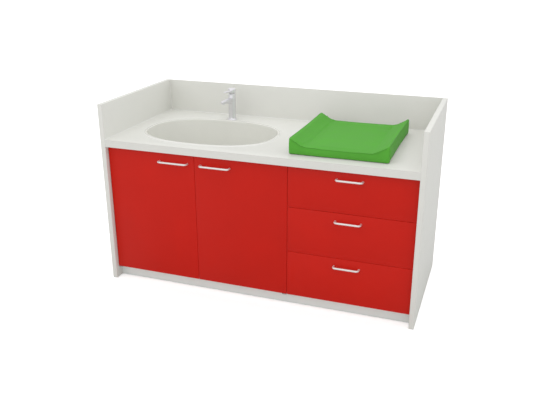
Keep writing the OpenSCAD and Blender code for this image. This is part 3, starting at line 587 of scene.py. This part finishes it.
def above(level, rows):
    """Rows of (size, height) whose heights are counted from a level."""
    return [(size, level + height) for size, height in rows]


def wall_rows(skin):
    """Wall and curve on one side of the sheet, from the top down."""
    radius = CURVE + skin
    rows = [(off(skin - LEAN * part), TOP - WALL * part) for part in (0.2, 0.45, 0.7, 1.0)]
    for turn in range(10, 81, 10):
        t = math.radians(turn)
        rows.append((off(skin - LEAN - radius * (1 - math.cos(t))), TOP - WALL - radius * math.sin(t)))
    return rows


FLOOR_RINGS = [(22.5, 22.5), (39, 39), (116.3, 83.9), (206.6, 136.4), (262, 165)]
inner_floor = above(bowl_low.z, zip(FLOOR_RINGS, (5, 5.2, 6.6, 8.6, 11.1)))
outer_floor = above(bowl_low.z, zip(FLOOR_RINGS[::-1], (5.8, 3.4, 1.5, 0, 0)))
lip = above(TOP, [(off(-1.5), -1), (off(-0.3), 1.2), (off(0.8), 2.6), (off(2.4), 3), (off(9.6), 3),
                  (off(11.6), 2.5), (off(12.8), 1.2), (off(LIP), 0.1), (off(6), 0.1), (off(4.8), -3)])
basin = swept_oval(inner_floor + wall_rows(0)[::-1] + lip + wall_rows(SHEET) + outer_floor)
modify(basin, "SUBSURF", levels=1, render_levels=1)
smooth(basin, degrees=40)
stand_in(basin, "basin_bowl", acrylic)

# %% [markdown]
# Where the lip meets the worktop the fitter runs a bead of white silicone and draws a
# finger along it, so its face is slightly hollow. The same sweep makes it. Along the guard
# edge the bead is straight: a thin bar whose outer edge is bevelled into the same hollow.

# %% Bead round the basin
silicone, *_ = finish_nodes("silicone", (0.76, 0.76, 0.73), amount=0.02, patches=30.0, gloss=0.35,
                            swing=0.06, grains=500.0, depth=0.02, softness=1.0)
bead = swept_oval(above(TOP, [(off(12.6), 0), (off(12.7), 1.6), (off(13.3), 1.5), (off(14.0), 0.7),
                              (off(15.2), 0.25), (off(16.4), 0.05), (off(16.4), 0)]))
smooth(bead, degrees=60)
finish(bead, "basin_bead", "root", silicone)


# %% Straight beads along the guard edge
BEAD, HOLLOW, HOLLOW_SHAPE, LONG_SHARE, PAST_MIDDLE = 3.0, 2.6, 0.2, 0.9, 2
START_SHORT, END_SHORT = 1, 0.6


def straight_bead(name, low, high, toward):
    """A thin bar in a corner, hollowed on the edge that points into the room."""
    middle, size = (Vector(low) + Vector(high)) / 2, Vector(high) - Vector(low)
    piece = block(middle, size)
    bpy.ops.object.mode_set(mode="EDIT")
    pick(piece, lambda e: e.calc_length() > LONG_SHARE * max(size) * MM and all(
        (v.co - middle * MM).dot(Vector(toward)) > PAST_MIDDLE * MM for v in e.verts), "EDGE")
    bpy.ops.mesh.bevel(offset=HOLLOW * MM, segments=5, profile=HOLLOW_SHAPE)
    bpy.ops.object.mode_set(mode="OBJECT")
    smooth(piece, degrees=60)
    finish(piece, name, "root", silicone)


IN_X, BACK_Y = box_mm("right_side_panel")[0].x, box_mm("back_panel")[0].y
FRONT_Y, RIM = box_mm("worktop")[0].y + START_SHORT, box_mm("back_panel")[1].z - END_SHORT
sides = [(side, *sorted((way * IN_X, way * (IN_X - BEAD))), way)
         for side, way in (("left", -1), ("right", 1))]
straight_bead("back_bead", (-IN_X, BACK_Y - BEAD, TOP), (IN_X, BACK_Y, TOP + BEAD), (0, -1, 1))
for side, x0, x1, way in sides:
    straight_bead(side + "_bead", (x0, FRONT_Y, TOP), (x1, BACK_Y - BEAD, TOP + BEAD), (-way, 0, 1))
for side, x0, x1, way in sides:
    straight_bead(side + "_corner_bead", (x0, BACK_Y - BEAD, TOP + BEAD), (x1, BACK_Y, RIM), (-way, -1, 0))

# %% [markdown]
# Tap
#
# The mixer is cast brass, polished and chromed: a foot ring, a plain column, and two
# blades, of which the lower is the spout and the upper the lever. The column is made as on
# a lathe: a disc is extruded and resized row by row. A softly worn chrome is used, because
# a perfect mirror would draw the pad and the doors as sharp coloured lines.

# %% Chrome and a lathe
chrome, *_ = finish_nodes("chrome", (0.785, 0.778, 0.805), amount=0.02, patches=40.0, gloss=0.44, swing=0.05,
                          grains=90.0, depth=0.002, softness=1.0, Metallic=1.0)


def turned(x, y, rows, points=64):
    """A turned piece from rows of (radius, height); both ends are closed."""
    radius, height = rows[0]
    piece = start(bpy.ops.mesh.primitive_circle_add, vertices=points, radius=radius * MM, fill_type="NGON",
                  location=(x * MM, y * MM, height * MM))
    bpy.ops.object.mode_set(mode="EDIT")
    for r, z in rows[1:]:
        pull(z=(z - height) * MM)
        bpy.ops.transform.resize(value=(r / radius, r / radius, 1), center_override=(x * MM, y * MM, z * MM))
        radius, height = r, z
    face_outwards()
    settle(piece)
    return piece


def combine(piece, other, operation="UNION"):
    """Joins or cuts with another closed piece, which is then removed."""
    modify(piece, "BOOLEAN", operation=operation, object=other, solver="EXACT")
    bpy.data.objects.remove(other, do_unlink=True)
    return piece


def bar(first, last, first_radius, last_radius, points=48):
    """A straight round bar between two points, with its own radius at each end."""
    a, b = Vector(first) * MM, Vector(last) * MM
    piece = start(bpy.ops.mesh.primitive_cone_add, vertices=points, radius1=first_radius * MM,
                  radius2=last_radius * MM, depth=(b - a).length, location=(a + b) / 2,
                  rotation=(b - a).to_track_quat("Z", "Y").to_euler())
    settle(piece)
    return piece


# %% [markdown]
# A blade is drawn out of a block that stands in the column: its front face is extruded to
# the tip in one move and resized to the tip's width and thickness. The two upright edges
# of the tip are then rounded with a bevel, and the long edges get a smaller one.

# %% Blade
AXIS_X, AXIS_Y, PIVOT_Z = joint_mm("tap_swivel")
ROOT_DEPTH, TIP_ZONE, SAME_X, FORWARDS = 16, 0.5, 0.1, -0.9


def blade(root, tip, root_size, tip_size, round_off):
    """A tapered blade along -Y between two (y, top z) places, with sizes (width, thickness)."""
    (root_y, root_top), (tip_y, tip_top) = root, tip
    root_z, tip_z = root_top - root_size[1] / 2, tip_top - tip_size[1] / 2
    piece = block((AXIS_X, root_y + ROOT_DEPTH / 2, root_z), (root_size[0], ROOT_DEPTH, root_size[1]))
    bpy.ops.object.mode_set(mode="EDIT")
    pick(piece, lambda face: face.normal.y < FORWARDS)
    pull(y=(tip_y - root_y) * MM, z=(tip_z - root_z) * MM)
    bpy.ops.transform.resize(value=(tip_size[0] / root_size[0], 1, tip_size[1] / root_size[1]),
                             center_override=(AXIS_X * MM, tip_y * MM, tip_z * MM))
    pick(piece, lambda edge: all(v.co.y < (tip_y + TIP_ZONE) * MM for v in edge.verts)
         and abs(edge.verts[0].co.x - edge.verts[1].co.x) < SAME_X * MM, "EDGE")
    bpy.ops.mesh.bevel(offset=round_off * MM, segments=8)
    face_outwards()
    bevel(piece, width=1.1, segments=3, degrees=40)
    return piece


# %% Tap body
COLUMN_R, SHANK_R, TIP_REACH, SPOUT_DROP = 21.5, 17, 22, 28
SPOUT_ROOT, SPOUT_END, SPOUT_ROUND = (26.3, 29), (23, 9), 10.5
aerator_low, aerator_high = box_mm("tap_aerator")
OUTLET_Y, OUTLET_Z = (aerator_low.y + aerator_high.y) / 2, aerator_low.z + 1
shank = above(box_mm("tap_body")[0].z, [(16.2, 0), (SHANK_R, 1)])
foot = above(TOP, [(SHANK_R, -0.2), (28.6, -0.1), (29, 0.4), (29, 2.2), (28.3, 3.6), (27, 4.5), (24, 5.6),
                   (22.6, 7.2), (21.8, 9.4), (COLUMN_R, 12)])
neck = above(PIVOT_Z, [(COLUMN_R, -9.4), (21.2, -8.1), (20.4, -7.2), (14.4, -7.2), (14.05, -7.7),
                       (14.05, -25)])
column = turned(AXIS_X, AXIS_Y, shank + foot + neck)
spout_top = PIVOT_Z - SPOUT_DROP
spout = blade((AXIS_Y - COLUMN_R, spout_top), (OUTLET_Y - TIP_REACH, spout_top),
              SPOUT_ROOT, SPOUT_END, SPOUT_ROUND)
collar = above(OUTLET_Z, [(8.7, 8), (8.7, 0.4), (9.2, 0), (10.4, 0), (11, 0.6), (11, 12)])
combine(spout, turned(AXIS_X, OUTLET_Y, collar, 48))
tap = combine(column, spout)
bevel(tap, width=0.8, segments=3, degrees=62)
smooth(tap, degrees=40)
stand_in(tap, "tap_body", chrome)

# %% [markdown]
# The lever starts as a hollow cap, turned from the pole of its cavity outwards, and gets a
# blade of its own. The two are joined into one casting, and a bore is cut for the bar on
# which the lever tilts.

# %% Tap lever
BALL, PIN_R, PIN_REACH, HOLLOW_R, HOLLOW_LOW, HOLLOW_HIGH = 15.85, 3.1, 18.4, 17.5, -11, 13
LEVER_ROOT, LEVER_END, LEVER_ROUND = (21, 12.5), (14, 4.5), 6.4
cavity = [(BALL * math.cos(math.radians(a)), PIVOT_Z + BALL * math.sin(math.radians(a)))
          for a in (87, 75, 60, 45, 30, 15, 0)]
outside = above(PIVOT_Z, [(21.0, 0), (COLUMN_R, 0.5), (COLUMN_R, 19.6), (21.1, 21.6), (20.2, 23.1),
                          (18.6, 23.9), (16, 24)])
cap = turned(AXIS_X, AXIS_Y, cavity + outside)
handle = blade((AXIS_Y - 18.5, PIVOT_Z + 14.5), (AXIS_Y - 111, PIVOT_Z + 22.5),
               LEVER_ROOT, LEVER_END, LEVER_ROUND)
inside = bar((AXIS_X, AXIS_Y, PIVOT_Z + HOLLOW_LOW), (AXIS_X, AXIS_Y, PIVOT_Z + HOLLOW_HIGH),
             HOLLOW_R, HOLLOW_R)
combine(handle, inside, "DIFFERENCE")
combine(cap, handle)
pin = bar((AXIS_X - PIN_REACH, AXIS_Y, PIVOT_Z), (AXIS_X + PIN_REACH, AXIS_Y, PIVOT_Z), PIN_R, PIN_R)
combine(cap, pin, "DIFFERENCE")
smooth(cap, degrees=40)
stand_in(cap, "tap_lever", chrome)

# %% [markdown]
# A red and a blue enamel dot on the cap's side tell hot from cold. They are thin discs
# with a soft edge, set just into the chrome. The aerator and cartridge keep their CAD form.

# %% Warm and cold dots, aerator and cartridge
DOT_SUNK, DOT_PROUD, DOT_Z, DOT_R, DOT_FACE_R = 0.3, 0.25, PIVOT_Z + 13, 1.6, 1.4
for name, way, colour in (("warm_dot", -1, (0.55, 0.02, 0.02)), ("cold_dot", 1, (0.02, 0.08, 0.5))):
    enamel, *_ = finish_nodes(name, colour, amount=0.03, patches=300.0, gloss=0.2, swing=0.04, grains=900.0,
                              depth=0.003, Coat_Weight=0.5)
    dot = bar((AXIS_X + way * (COLUMN_R - DOT_SUNK), AXIS_Y, DOT_Z),
              (AXIS_X + way * (COLUMN_R + DOT_PROUD), AXIS_Y, DOT_Z), DOT_R, DOT_FACE_R, points=24)
    bevel(dot, width=0.12, segments=2, degrees=40)
    smooth(dot, degrees=50)
    finish(dot, name, "tap_lever", enamel)
plated, *_ = finish_nodes("nickel_plate", (0.62, 0.62, 0.60), amount=0.04, patches=60.0, gloss=0.22,
                          swing=0.06, grains=400.0, depth=0.01, Metallic=1.0)
for node in ("tap_aerator", "tap_cartridge"):
    for slot in frame["nodes"][node].material_slots:
        slot.material = plated
print("tap's own CAD pieces in", plated.name)

# %% [markdown]
# Bow handles
#
# A bow handle is one round bar, bent twice and brushed along its length. A disc on the
# front is pulled out, spun round the first bend, drawn along, spun round the second bend
# and pushed back to the front. The doors' two handles are longer than the drawers' three,
# and each takes its place and length from its CAD node.

# %% Handles
nickel, *_ = finish_nodes("satin_nickel", (0.80, 0.785, 0.77), amount=0.03, patches=50.0, gloss=0.42,
                          swing=0.06, grains=260.0, depth=0.01, stretched=(0.08, 6, 6), softness=1.0,
                          Metallic=0.55)
BAR_R, BEND, BEND_STEPS = 5.0, 12.0, 10


def bow_handle(node):
    """A bent bar whose feet stand on the front at both ends of its CAD node."""
    low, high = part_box(node)
    radius, bend = BAR_R * MM, BEND * MM
    left, right, level = low.x + radius, high.x - radius, low.z + radius
    face, turn_y = high.y, low.y + radius + bend
    piece = start(bpy.ops.mesh.primitive_circle_add, vertices=32, radius=radius, fill_type="NGON",
                  location=(left, face, level), rotation=(math.pi / 2, 0, 0))
    bpy.ops.object.mode_set(mode="EDIT")
    bpy.ops.mesh.select_all(action="SELECT")
    pull(y=turn_y - face)
    for turn_x, run, out in ((left + bend, right - left - 2 * bend, 0), (right - bend, 0, face - turn_y)):
        bpy.ops.mesh.spin(steps=BEND_STEPS, angle=-math.pi / 2, center=(turn_x, turn_y, level),
                          axis=(0, 0, 1))
        pull(x=run, y=out)
    bpy.ops.mesh.select_all(action="SELECT")
    bpy.ops.mesh.remove_doubles(threshold=MERGE * MM)
    face_outwards()
    smooth(piece, degrees=40)
    stand_in(piece, node, nickel)


for fitting in ("left_door", "right_door", "upper_drawer", "middle_drawer", "lower_drawer"):
    bow_handle(fitting + "_handle")

# %% [markdown]
# Drawer boxes and battens
#
# The boxes are birch plywood: long straight grain on the faces, which runs along the walls
# and from side to side on the floor, and on the upper rims the stacked layers, light and
# dark in turn. A rim is where the surface points upwards close to the box's top, and the
# layers follow the distance from the box's outside, so one group serves all boxes.

# %% Plywood layers group
FACES_UP, RIM_DEPTH = 0.7, 0.003
layers, layers_in, layers_out = group(
    "ply_layers", CORNERS + [("Normal", VECTOR, None), ("Layer", FLOAT, 0.0015)], [("Layer mask", FLOAT)])
axes = depths(layers, layers_in)
up = add(layers, "ShaderNodeSeparateXYZ")
inward = math_node(layers, "MINIMUM", (axes, "X"), (axes, "Y"))
count = math_node(layers, "DIVIDE", (inward, "Value"), (layers_in, "Layer"))
stripe = math_node(layers, "PINGPONG", (count, "Value"), 1.0)
sharp = add(layers, "ShaderNodeMapRange", {"From Min": 0.35, "From Max": 0.65})
facing = math_node(layers, "GREATER_THAN", (up, "Z"), FACES_UP)
near = math_node(layers, "LESS_THAN", (axes, "Z"), RIM_DEPTH)
on_rim = math_node(layers, "MULTIPLY", (facing, "Value"), (near, "Value"))
shown = math_node(layers, "MULTIPLY", (sharp, "Result"), (on_rim, "Value"))
join(layers, ((layers_in, "Normal"), (up, "Vector")), ((stripe, "Value"), (sharp, "Value")),
     ((shown, "Value"), (layers_out, "Layer mask")))
print("group", layers.name)

# %% Birch
BIRCH, BIRCH_GRAIN, BIRCH_LAYER = (0.62, 0.47, 0.29), (0.46, 0.32, 0.17), (0.27, 0.16, 0.08)
ALONG_WALLS, ACROSS_FLOOR = (1.2, 1.2, 42), (1.2, 36, 1.2)


def birch(node):
    """Clear-lacquered birch with long grain and layered rims for one box."""
    made, tree, surface, toned, place = finish_nodes(
        "birch_" + node, BIRCH, amount=0.10, patches=9.0, gloss=0.45, swing=0.06, grains=60.0,
        depth=0.02, stretched=(1, 1, 14), softness=1.0)
    shape = add(tree, "ShaderNodeNewGeometry")
    facing = add(tree, "ShaderNodeSeparateXYZ")
    level = math_node(tree, "GREATER_THAN", (facing, "Z"), FACES_UP)
    run = add(tree, "ShaderNodeMix", {VECTOR_A: ALONG_WALLS, VECTOR_B: ACROSS_FLOOR}, data_type="VECTOR")
    grain = add(tree, "ShaderNodeVectorMath", operation="MULTIPLY")
    streaks = add(tree, "ShaderNodeTexNoise",
                  {"Scale": 3.0, "Detail": 6.0, "Roughness": 0.7, "Distortion": 0.4})
    ply = fitted(tree, layers, node, place)
    soft = add(tree, "ShaderNodeMapRange", {"From Min": 0.42, "From Max": 0.72, "To Max": 0.7})
    grained = laid_over(tree, (toned, "Colour"), (soft, "Result"), BIRCH_GRAIN)
    layered = laid_over(tree, grained, (ply, "Layer mask"), BIRCH_LAYER)
    join(tree, ((shape, "Normal"), (facing, "Vector")), ((level, "Value"), (run, FACTOR)),
         ((place, "Object"), (grain, 0)), ((run, VECTOR_OUT), (grain, 1)),
         ((grain, "Vector"), (streaks, "Vector")),
         ((streaks, "Fac"), (soft, "Value")), ((shape, "Normal"), (ply, "Normal")),
         (layered, (surface, "Base Color")))
    return made


for node in ("upper_drawer_box", "middle_drawer_box", "lower_drawer_box", "worktop_battens"):
    softened(node, birch(node), width=0.6)

# %% [markdown]
# Slides, pivots and waste
#
# The drawer slides, pivot plates and catch plates are bent or pressed from zinc-plated
# sheet, which shows a faint crystal pattern. The catches, the trap and the waste pipe are
# moulded white plastic, with the slightly uneven skin that moulding leaves. The tap's
# copper tails are chromed, and the waste's flange and plug match the tap.

# %% Zinc-plated steel and white plastic
zinc, *_ = finish_nodes("zinc_plate", (0.52, 0.54, 0.55), amount=0.10, patches=130.0, gloss=0.34,
                        swing=0.09, grains=180.0, depth=0.006, softness=0.3, Metallic=1.0)
plastic, *_ = finish_nodes("white_plastic", (0.66, 0.66, 0.63), amount=0.02, patches=25.0, gloss=0.38,
                           swing=0.06, grains=900.0, depth=0.01, softness=0.8)
copper, *_ = finish_nodes("chromed_tail", (0.66, 0.66, 0.67), amount=0.05, patches=60.0, gloss=0.18,
                          swing=0.06, grains=300.0, depth=0.004, Metallic=1.0)
for drawer in ("upper", "middle", "lower"):
    for member in ("cabinet", "middle", "drawer"):
        softened(drawer + "_" + member + "_rails", zinc, width=0.2, segments=1)
for node in ("left_door_pivots", "right_door_pivots", "left_door_bushes", "right_door_bushes",
             "left_catch_plate", "right_catch_plate", "tap_fixing_nut"):
    softened(node, zinc, width=0.25)
for node in ("door_catches", "waste_backnut", "bottle_trap", "trap_cup", "waste_pipe"):
    softened(node, plastic, width=0.5)
softened("tap_inlet_tails", copper, width=0.4)
for node in ("waste_flange", "waste_plug"):
    softened(node, chrome, width=0.3)

# %% [markdown]
# Pan-head screws hold the handles, the catch plates, the doors' lower brackets and the
# drawer fronts. One head is turned and its cross recess is cut with two thin bars; every
# other screw is a copy of that mesh, moved and turned to its place.

# %% One screw head and its copies
HEAD_TOP, RECESS_LENGTH, RECESS_WIDTH = 2.4, 4.4, 0.9
pattern = turned(0, 0, [(3.9, 0), (4.0, 0.25), (3.9, 0.9), (3.3, 1.7), (2.2, 2.2), (0.8, HEAD_TOP)], 24)
for size in ((RECESS_LENGTH, RECESS_WIDTH, HEAD_TOP), (RECESS_WIDTH, RECESS_LENGTH, HEAD_TOP)):
    combine(pattern, block((0, 0, HEAD_TOP), size), "DIFFERENCE")


def screws(name, body, places, direction):
    """Copies of the screw head at places in mm, which all look along one direction."""
    heads = []
    for place in places:
        head = bpy.data.objects.new(name, pattern.data.copy())
        scene.collection.objects.link(head)
        head.location = Vector(place) * MM
        head.rotation_euler = Vector(direction).to_track_quat("Z", "Y").to_euler()
        heads.append(head)
    only(heads[0])
    for head in heads:
        head.select_set(True)
    bpy.ops.object.join()
    smooth(heads[0])
    finish(heads[0], name, body, zinc)


# %% Screws on the doors, brackets and drawers
INWARDS, DOWNWARDS = (0, 1, 0), (0, 0, -1)
BACK_OF_FRONT = box_mm("left_door")[1].y
PIN_TO_SCREW, BOX_WALL, ABOVE_FLOOR, BELOW_RIM, SPREAD = 52.5, 12, 50, 18, 195
for side in ("left", "right"):
    low, high = box_mm(side + "_door_handle")
    plate_low, plate_high = box_mm(side + "_catch_plate")
    plate = (plate_low + plate_high) / 2
    feet = [(x, BACK_OF_FRONT, low.z + BAR_R) for x in (low.x + BAR_R, high.x - BAR_R)]
    screws(side + "_door_screws", side + "_door", feet + [(plate.x, plate_high.y, plate.z)], INWARDS)
pins = [joint_mm(side + "_door_hinge") for side in ("left", "right")]
bracket_z = box_mm("left_door_pivots")[0].z
screws("plinth_screws", "root", [(pin.x, pin.y + PIN_TO_SCREW, bracket_z) for pin in pins], DOWNWARDS)
for drawer in ("upper", "middle", "lower"):
    low, high = box_mm(drawer + "_drawer_box")
    handle_low, handle_high = box_mm(drawer + "_drawer_handle")
    middle_x = (handle_low.x + handle_high.x) / 2
    screws(drawer + "_drawer_screws", drawer + "_drawer",
           [(x, low.y + BOX_WALL, z) for x in (middle_x - SPREAD, middle_x, middle_x + SPREAD)
            for z in (low.z + ABOVE_FLOOR, high.z - BELOW_RIM)], INWARDS)
bpy.data.objects.remove(pattern, do_unlink=True)

# %% [markdown]
# Changing pad
#
# The pad is foam in a cover of coated cloth, welded from panels: a flat base, low ends,
# and two sides that rise in a curve so that a child can't roll off. Cloth over foam is a
# little fuller than the foam's cut shape, and it is held in only at the seams and at the
# foot of each raised side. So a slightly smaller copy is remeshed, its seams are pinned,
# and it is blown up as cloth; each point may move only a few millimetres.

# %% Pad blank
SKIN, WELD, VOXEL, BASE_EDGE = 1.2 * MM, 0.01 * MM, 6 * MM, 20 * MM
pad = bpy.data.objects.new("changing_pad_cover", frame["nodes"]["changing_pad"].data.copy())
scene.collection.objects.link(pad)
pad_low, pad_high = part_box("changing_pad")
pad_middle = (pad_low + pad_high) / 2
modify(pad, "WELD", merge_threshold=WELD)
for vertex in pad.data.vertices:
    for axis in (0, 1):
        reach = (pad_high[axis] - pad_low[axis]) / 2
        vertex.co[axis] = pad_middle[axis] + (vertex.co[axis] - pad_middle[axis]) * (reach - SKIN) / reach
    if vertex.co.z > pad_low.z + BASE_EDGE:
        vertex.co.z -= SKIN
modify(pad, "REMESH", mode="VOXEL", voxel_size=VOXEL)
modify(pad, "SMOOTH", factor=0.5, iterations=1)
print("pad blank", len(pad.data.polygons), "faces")

# %% Seams and the swelling
FOOT, FOOT_BAND = 166 * MM, 5 * MM
EDGE_X, EDGE_Y = 234 * MM, 282 * MM
LEAST_SLOPE, MOST_SLOPE, FOOT_SLOPE = 0.45, 0.92, 0.5


def on_seam(vertex):
    """True on the rounded outer edges and along the foot of each raised side."""
    from_middle = vertex.co - pad_middle
    outer = abs(from_middle.x) > EDGE_X or abs(from_middle.y) > EDGE_Y
    if outer and LEAST_SLOPE < abs(vertex.normal.z) < MOST_SLOPE:
        return True
    return vertex.normal.z > FOOT_SLOPE and abs(abs(from_middle.x) - FOOT) < FOOT_BAND


seams = pad.vertex_groups.new(name="seams")
seams.add([v.index for v in pad.data.vertices if on_seam(v)], 1.0, "REPLACE")
MOST_MOVE, MOMENTS = 3.0 * MM, 20


def swell(piece):
    """Blows a skin up as cloth, and holds every point within a few millimetres."""
    resting = [vertex.co.copy() for vertex in piece.data.vertices]
    only(piece)
    bpy.ops.object.modifier_add(type="CLOTH")
    cloth = piece.modifiers[-1]
    cloth.settings.quality = 5
    cloth.settings.use_pressure = True
    cloth.settings.uniform_pressure_force = 4
    cloth.settings.effector_weights.gravity = 0
    cloth.settings.vertex_group_mass = "seams"
    for moment in range(1, MOMENTS + 1):
        scene.frame_set(moment)
    bpy.ops.object.modifier_apply(modifier=cloth.name)
    scene.frame_set(1)
    for vertex, before in zip(piece.data.vertices, resting):
        move = vertex.co - before
        if move.length > MOST_MOVE:
            vertex.co = before + move * (MOST_MOVE / move.length)
        vertex.co.z = max(vertex.co.z, pad_low.z)


swell(pad)
smooth(pad, degrees=60)
print("pad", len(pad.data.polygons), "faces")

# %% [markdown]
# The cover is a woven backing with a soft green coat, embossed with a fine grain of about
# a millimetre, and it has a low even shine. The photograph shows next to no green on the
# boards beside the pad, so a Light Path node makes the light that the cover throws onto
# other pieces paler than the cover itself.

# %% Coated cloth
COVER, COVER_THROWN = (0.0960, 0.376, 0.0455), (0.45, 0.47, 0.42)
coated, tree, surface, toned, _ = finish_nodes(
    "coated_cloth", COVER, amount=0.05, patches=9.0, gloss=0.50, swing=0.05, grains=1100.0, depth=0.06,
    softness=0.35, Specular_IOR_Level=0.05)
ray = add(tree, "ShaderNodeLightPath")
paler = laid_over(tree, (toned, "Colour"), (ray, "Is Diffuse Ray"), COVER_THROWN)
join(tree, (paler, (surface, "Base Color")))
stand_in(pad, "changing_pad", coated, ending="_cover")

# %% [markdown]
# A thin piping in a darker green covers the weld along the pad's upper outer edge. Its
# path is the sharp edge of the pad before rounding, moved onto the nearest point of the
# swollen cover and evened out along its length. A curve with a round bevel follows it and
# is turned into a mesh.

# %% Path of the piping
MIDDLE_TOP, WING_RISE, WING_RUN, WING_POWER = 41, 42, 76, 1.5
STEPS_ALONG, STEPS_ACROSS, EVENINGS = 60, 40, 3
PIPING_R, PROUD = 1.7, 0.6


def rise(x):
    """Height of the pad's top above its base, at x from the pad's middle, in mm."""
    share = min(max((abs(x) - FOOT / MM) / WING_RUN, 0), 1)
    return MIDDLE_TOP + WING_RISE * share ** WING_POWER


half_x, half_y = (pad_high.x - pad_low.x) / 2 / MM, (pad_high.y - pad_low.y) / 2 / MM
along = [-half_x + 2 * half_x * step / STEPS_ALONG for step in range(STEPS_ALONG + 1)]
across = [-half_y + 2 * half_y * step / STEPS_ACROSS for step in range(1, STEPS_ACROSS)]
half_way = [(x, -half_y) for x in along] + [(half_x, y) for y in across]
weld = []
for x, y in half_way + [(-x, -y) for x, y in half_way]:
    aim = Vector((pad_middle.x + x * MM, pad_middle.y + y * MM, pad_low.z + rise(x) * MM))
    _, on_cover, normal, _ = pad.closest_point_on_mesh(aim)
    weld.append(on_cover + normal * PROUD * MM)
for _ in range(EVENINGS):
    weld = [(weld[i - 1] + 2 * weld[i] + weld[(i + 1) % len(weld)]) / 4 for i in range(len(weld))]
print("piping follows", len(weld), "points")

# %% Piping along the upper edge
welt, *_ = finish_nodes("coated_piping", (0.080, 0.315, 0.038), amount=0.05, patches=30.0, gloss=0.42,
                        swing=0.05, grains=900.0, depth=0.04, softness=0.35, Specular_IOR_Level=0.1)
curve = bpy.data.curves.new("pad_piping", "CURVE")
curve.dimensions = "3D"
curve.bevel_depth = PIPING_R * MM
curve.bevel_resolution = 3
line = curve.splines.new("POLY")
line.points.add(len(weld) - 1)
line.use_cyclic_u = True
for point, place in zip(line.points, weld):
    point.co = (*place, 1)
piping = bpy.data.objects.new("pad_piping", curve)
scene.collection.objects.link(piping)
only(piping)
bpy.ops.object.convert(target="MESH")
piping = bpy.context.object
smooth(piping, degrees=60)
finish(piping, "pad_piping", body_of["changing_pad"], welt)

# %% [markdown]
# Floor finish
#
# The studio floor is a matt white sheet whose tone drifts very slightly over metres. To
# the camera it glows a little, as a lit product table does, so that it stays white in the
# picture. It throws back less light than a pure white sheet would, so that the upright
# faces don't outshine the worktop. A Light Path node tells the camera's view of it from
# the light that it throws.

# %% Floor finish
sheet, tree, surface, toned, _ = finish_nodes(
    "studio_floor", (0.97, 0.97, 0.97), amount=0.006, patches=0.7, gloss=0.85, swing=0.04, grains=30.0,
    depth=0.05, softness=1.0, Emission_Strength=0.34)
seen = add(tree, "ShaderNodeLightPath")
thrown = math_node(tree, "SUBTRACT", 1.0, (seen, "Is Camera Ray"))
paper = laid_over(tree, (toned, "Colour"), (thrown, "Value"), (0.70, 0.70, 0.70))
join(tree, (paper, (surface, "Base Color")), ((seen, "Is Camera Ray"), (surface, "Emission Color")))
floor.data.materials.clear()
floor.data.materials.append(sheet)
print("floor finish", sheet.name)
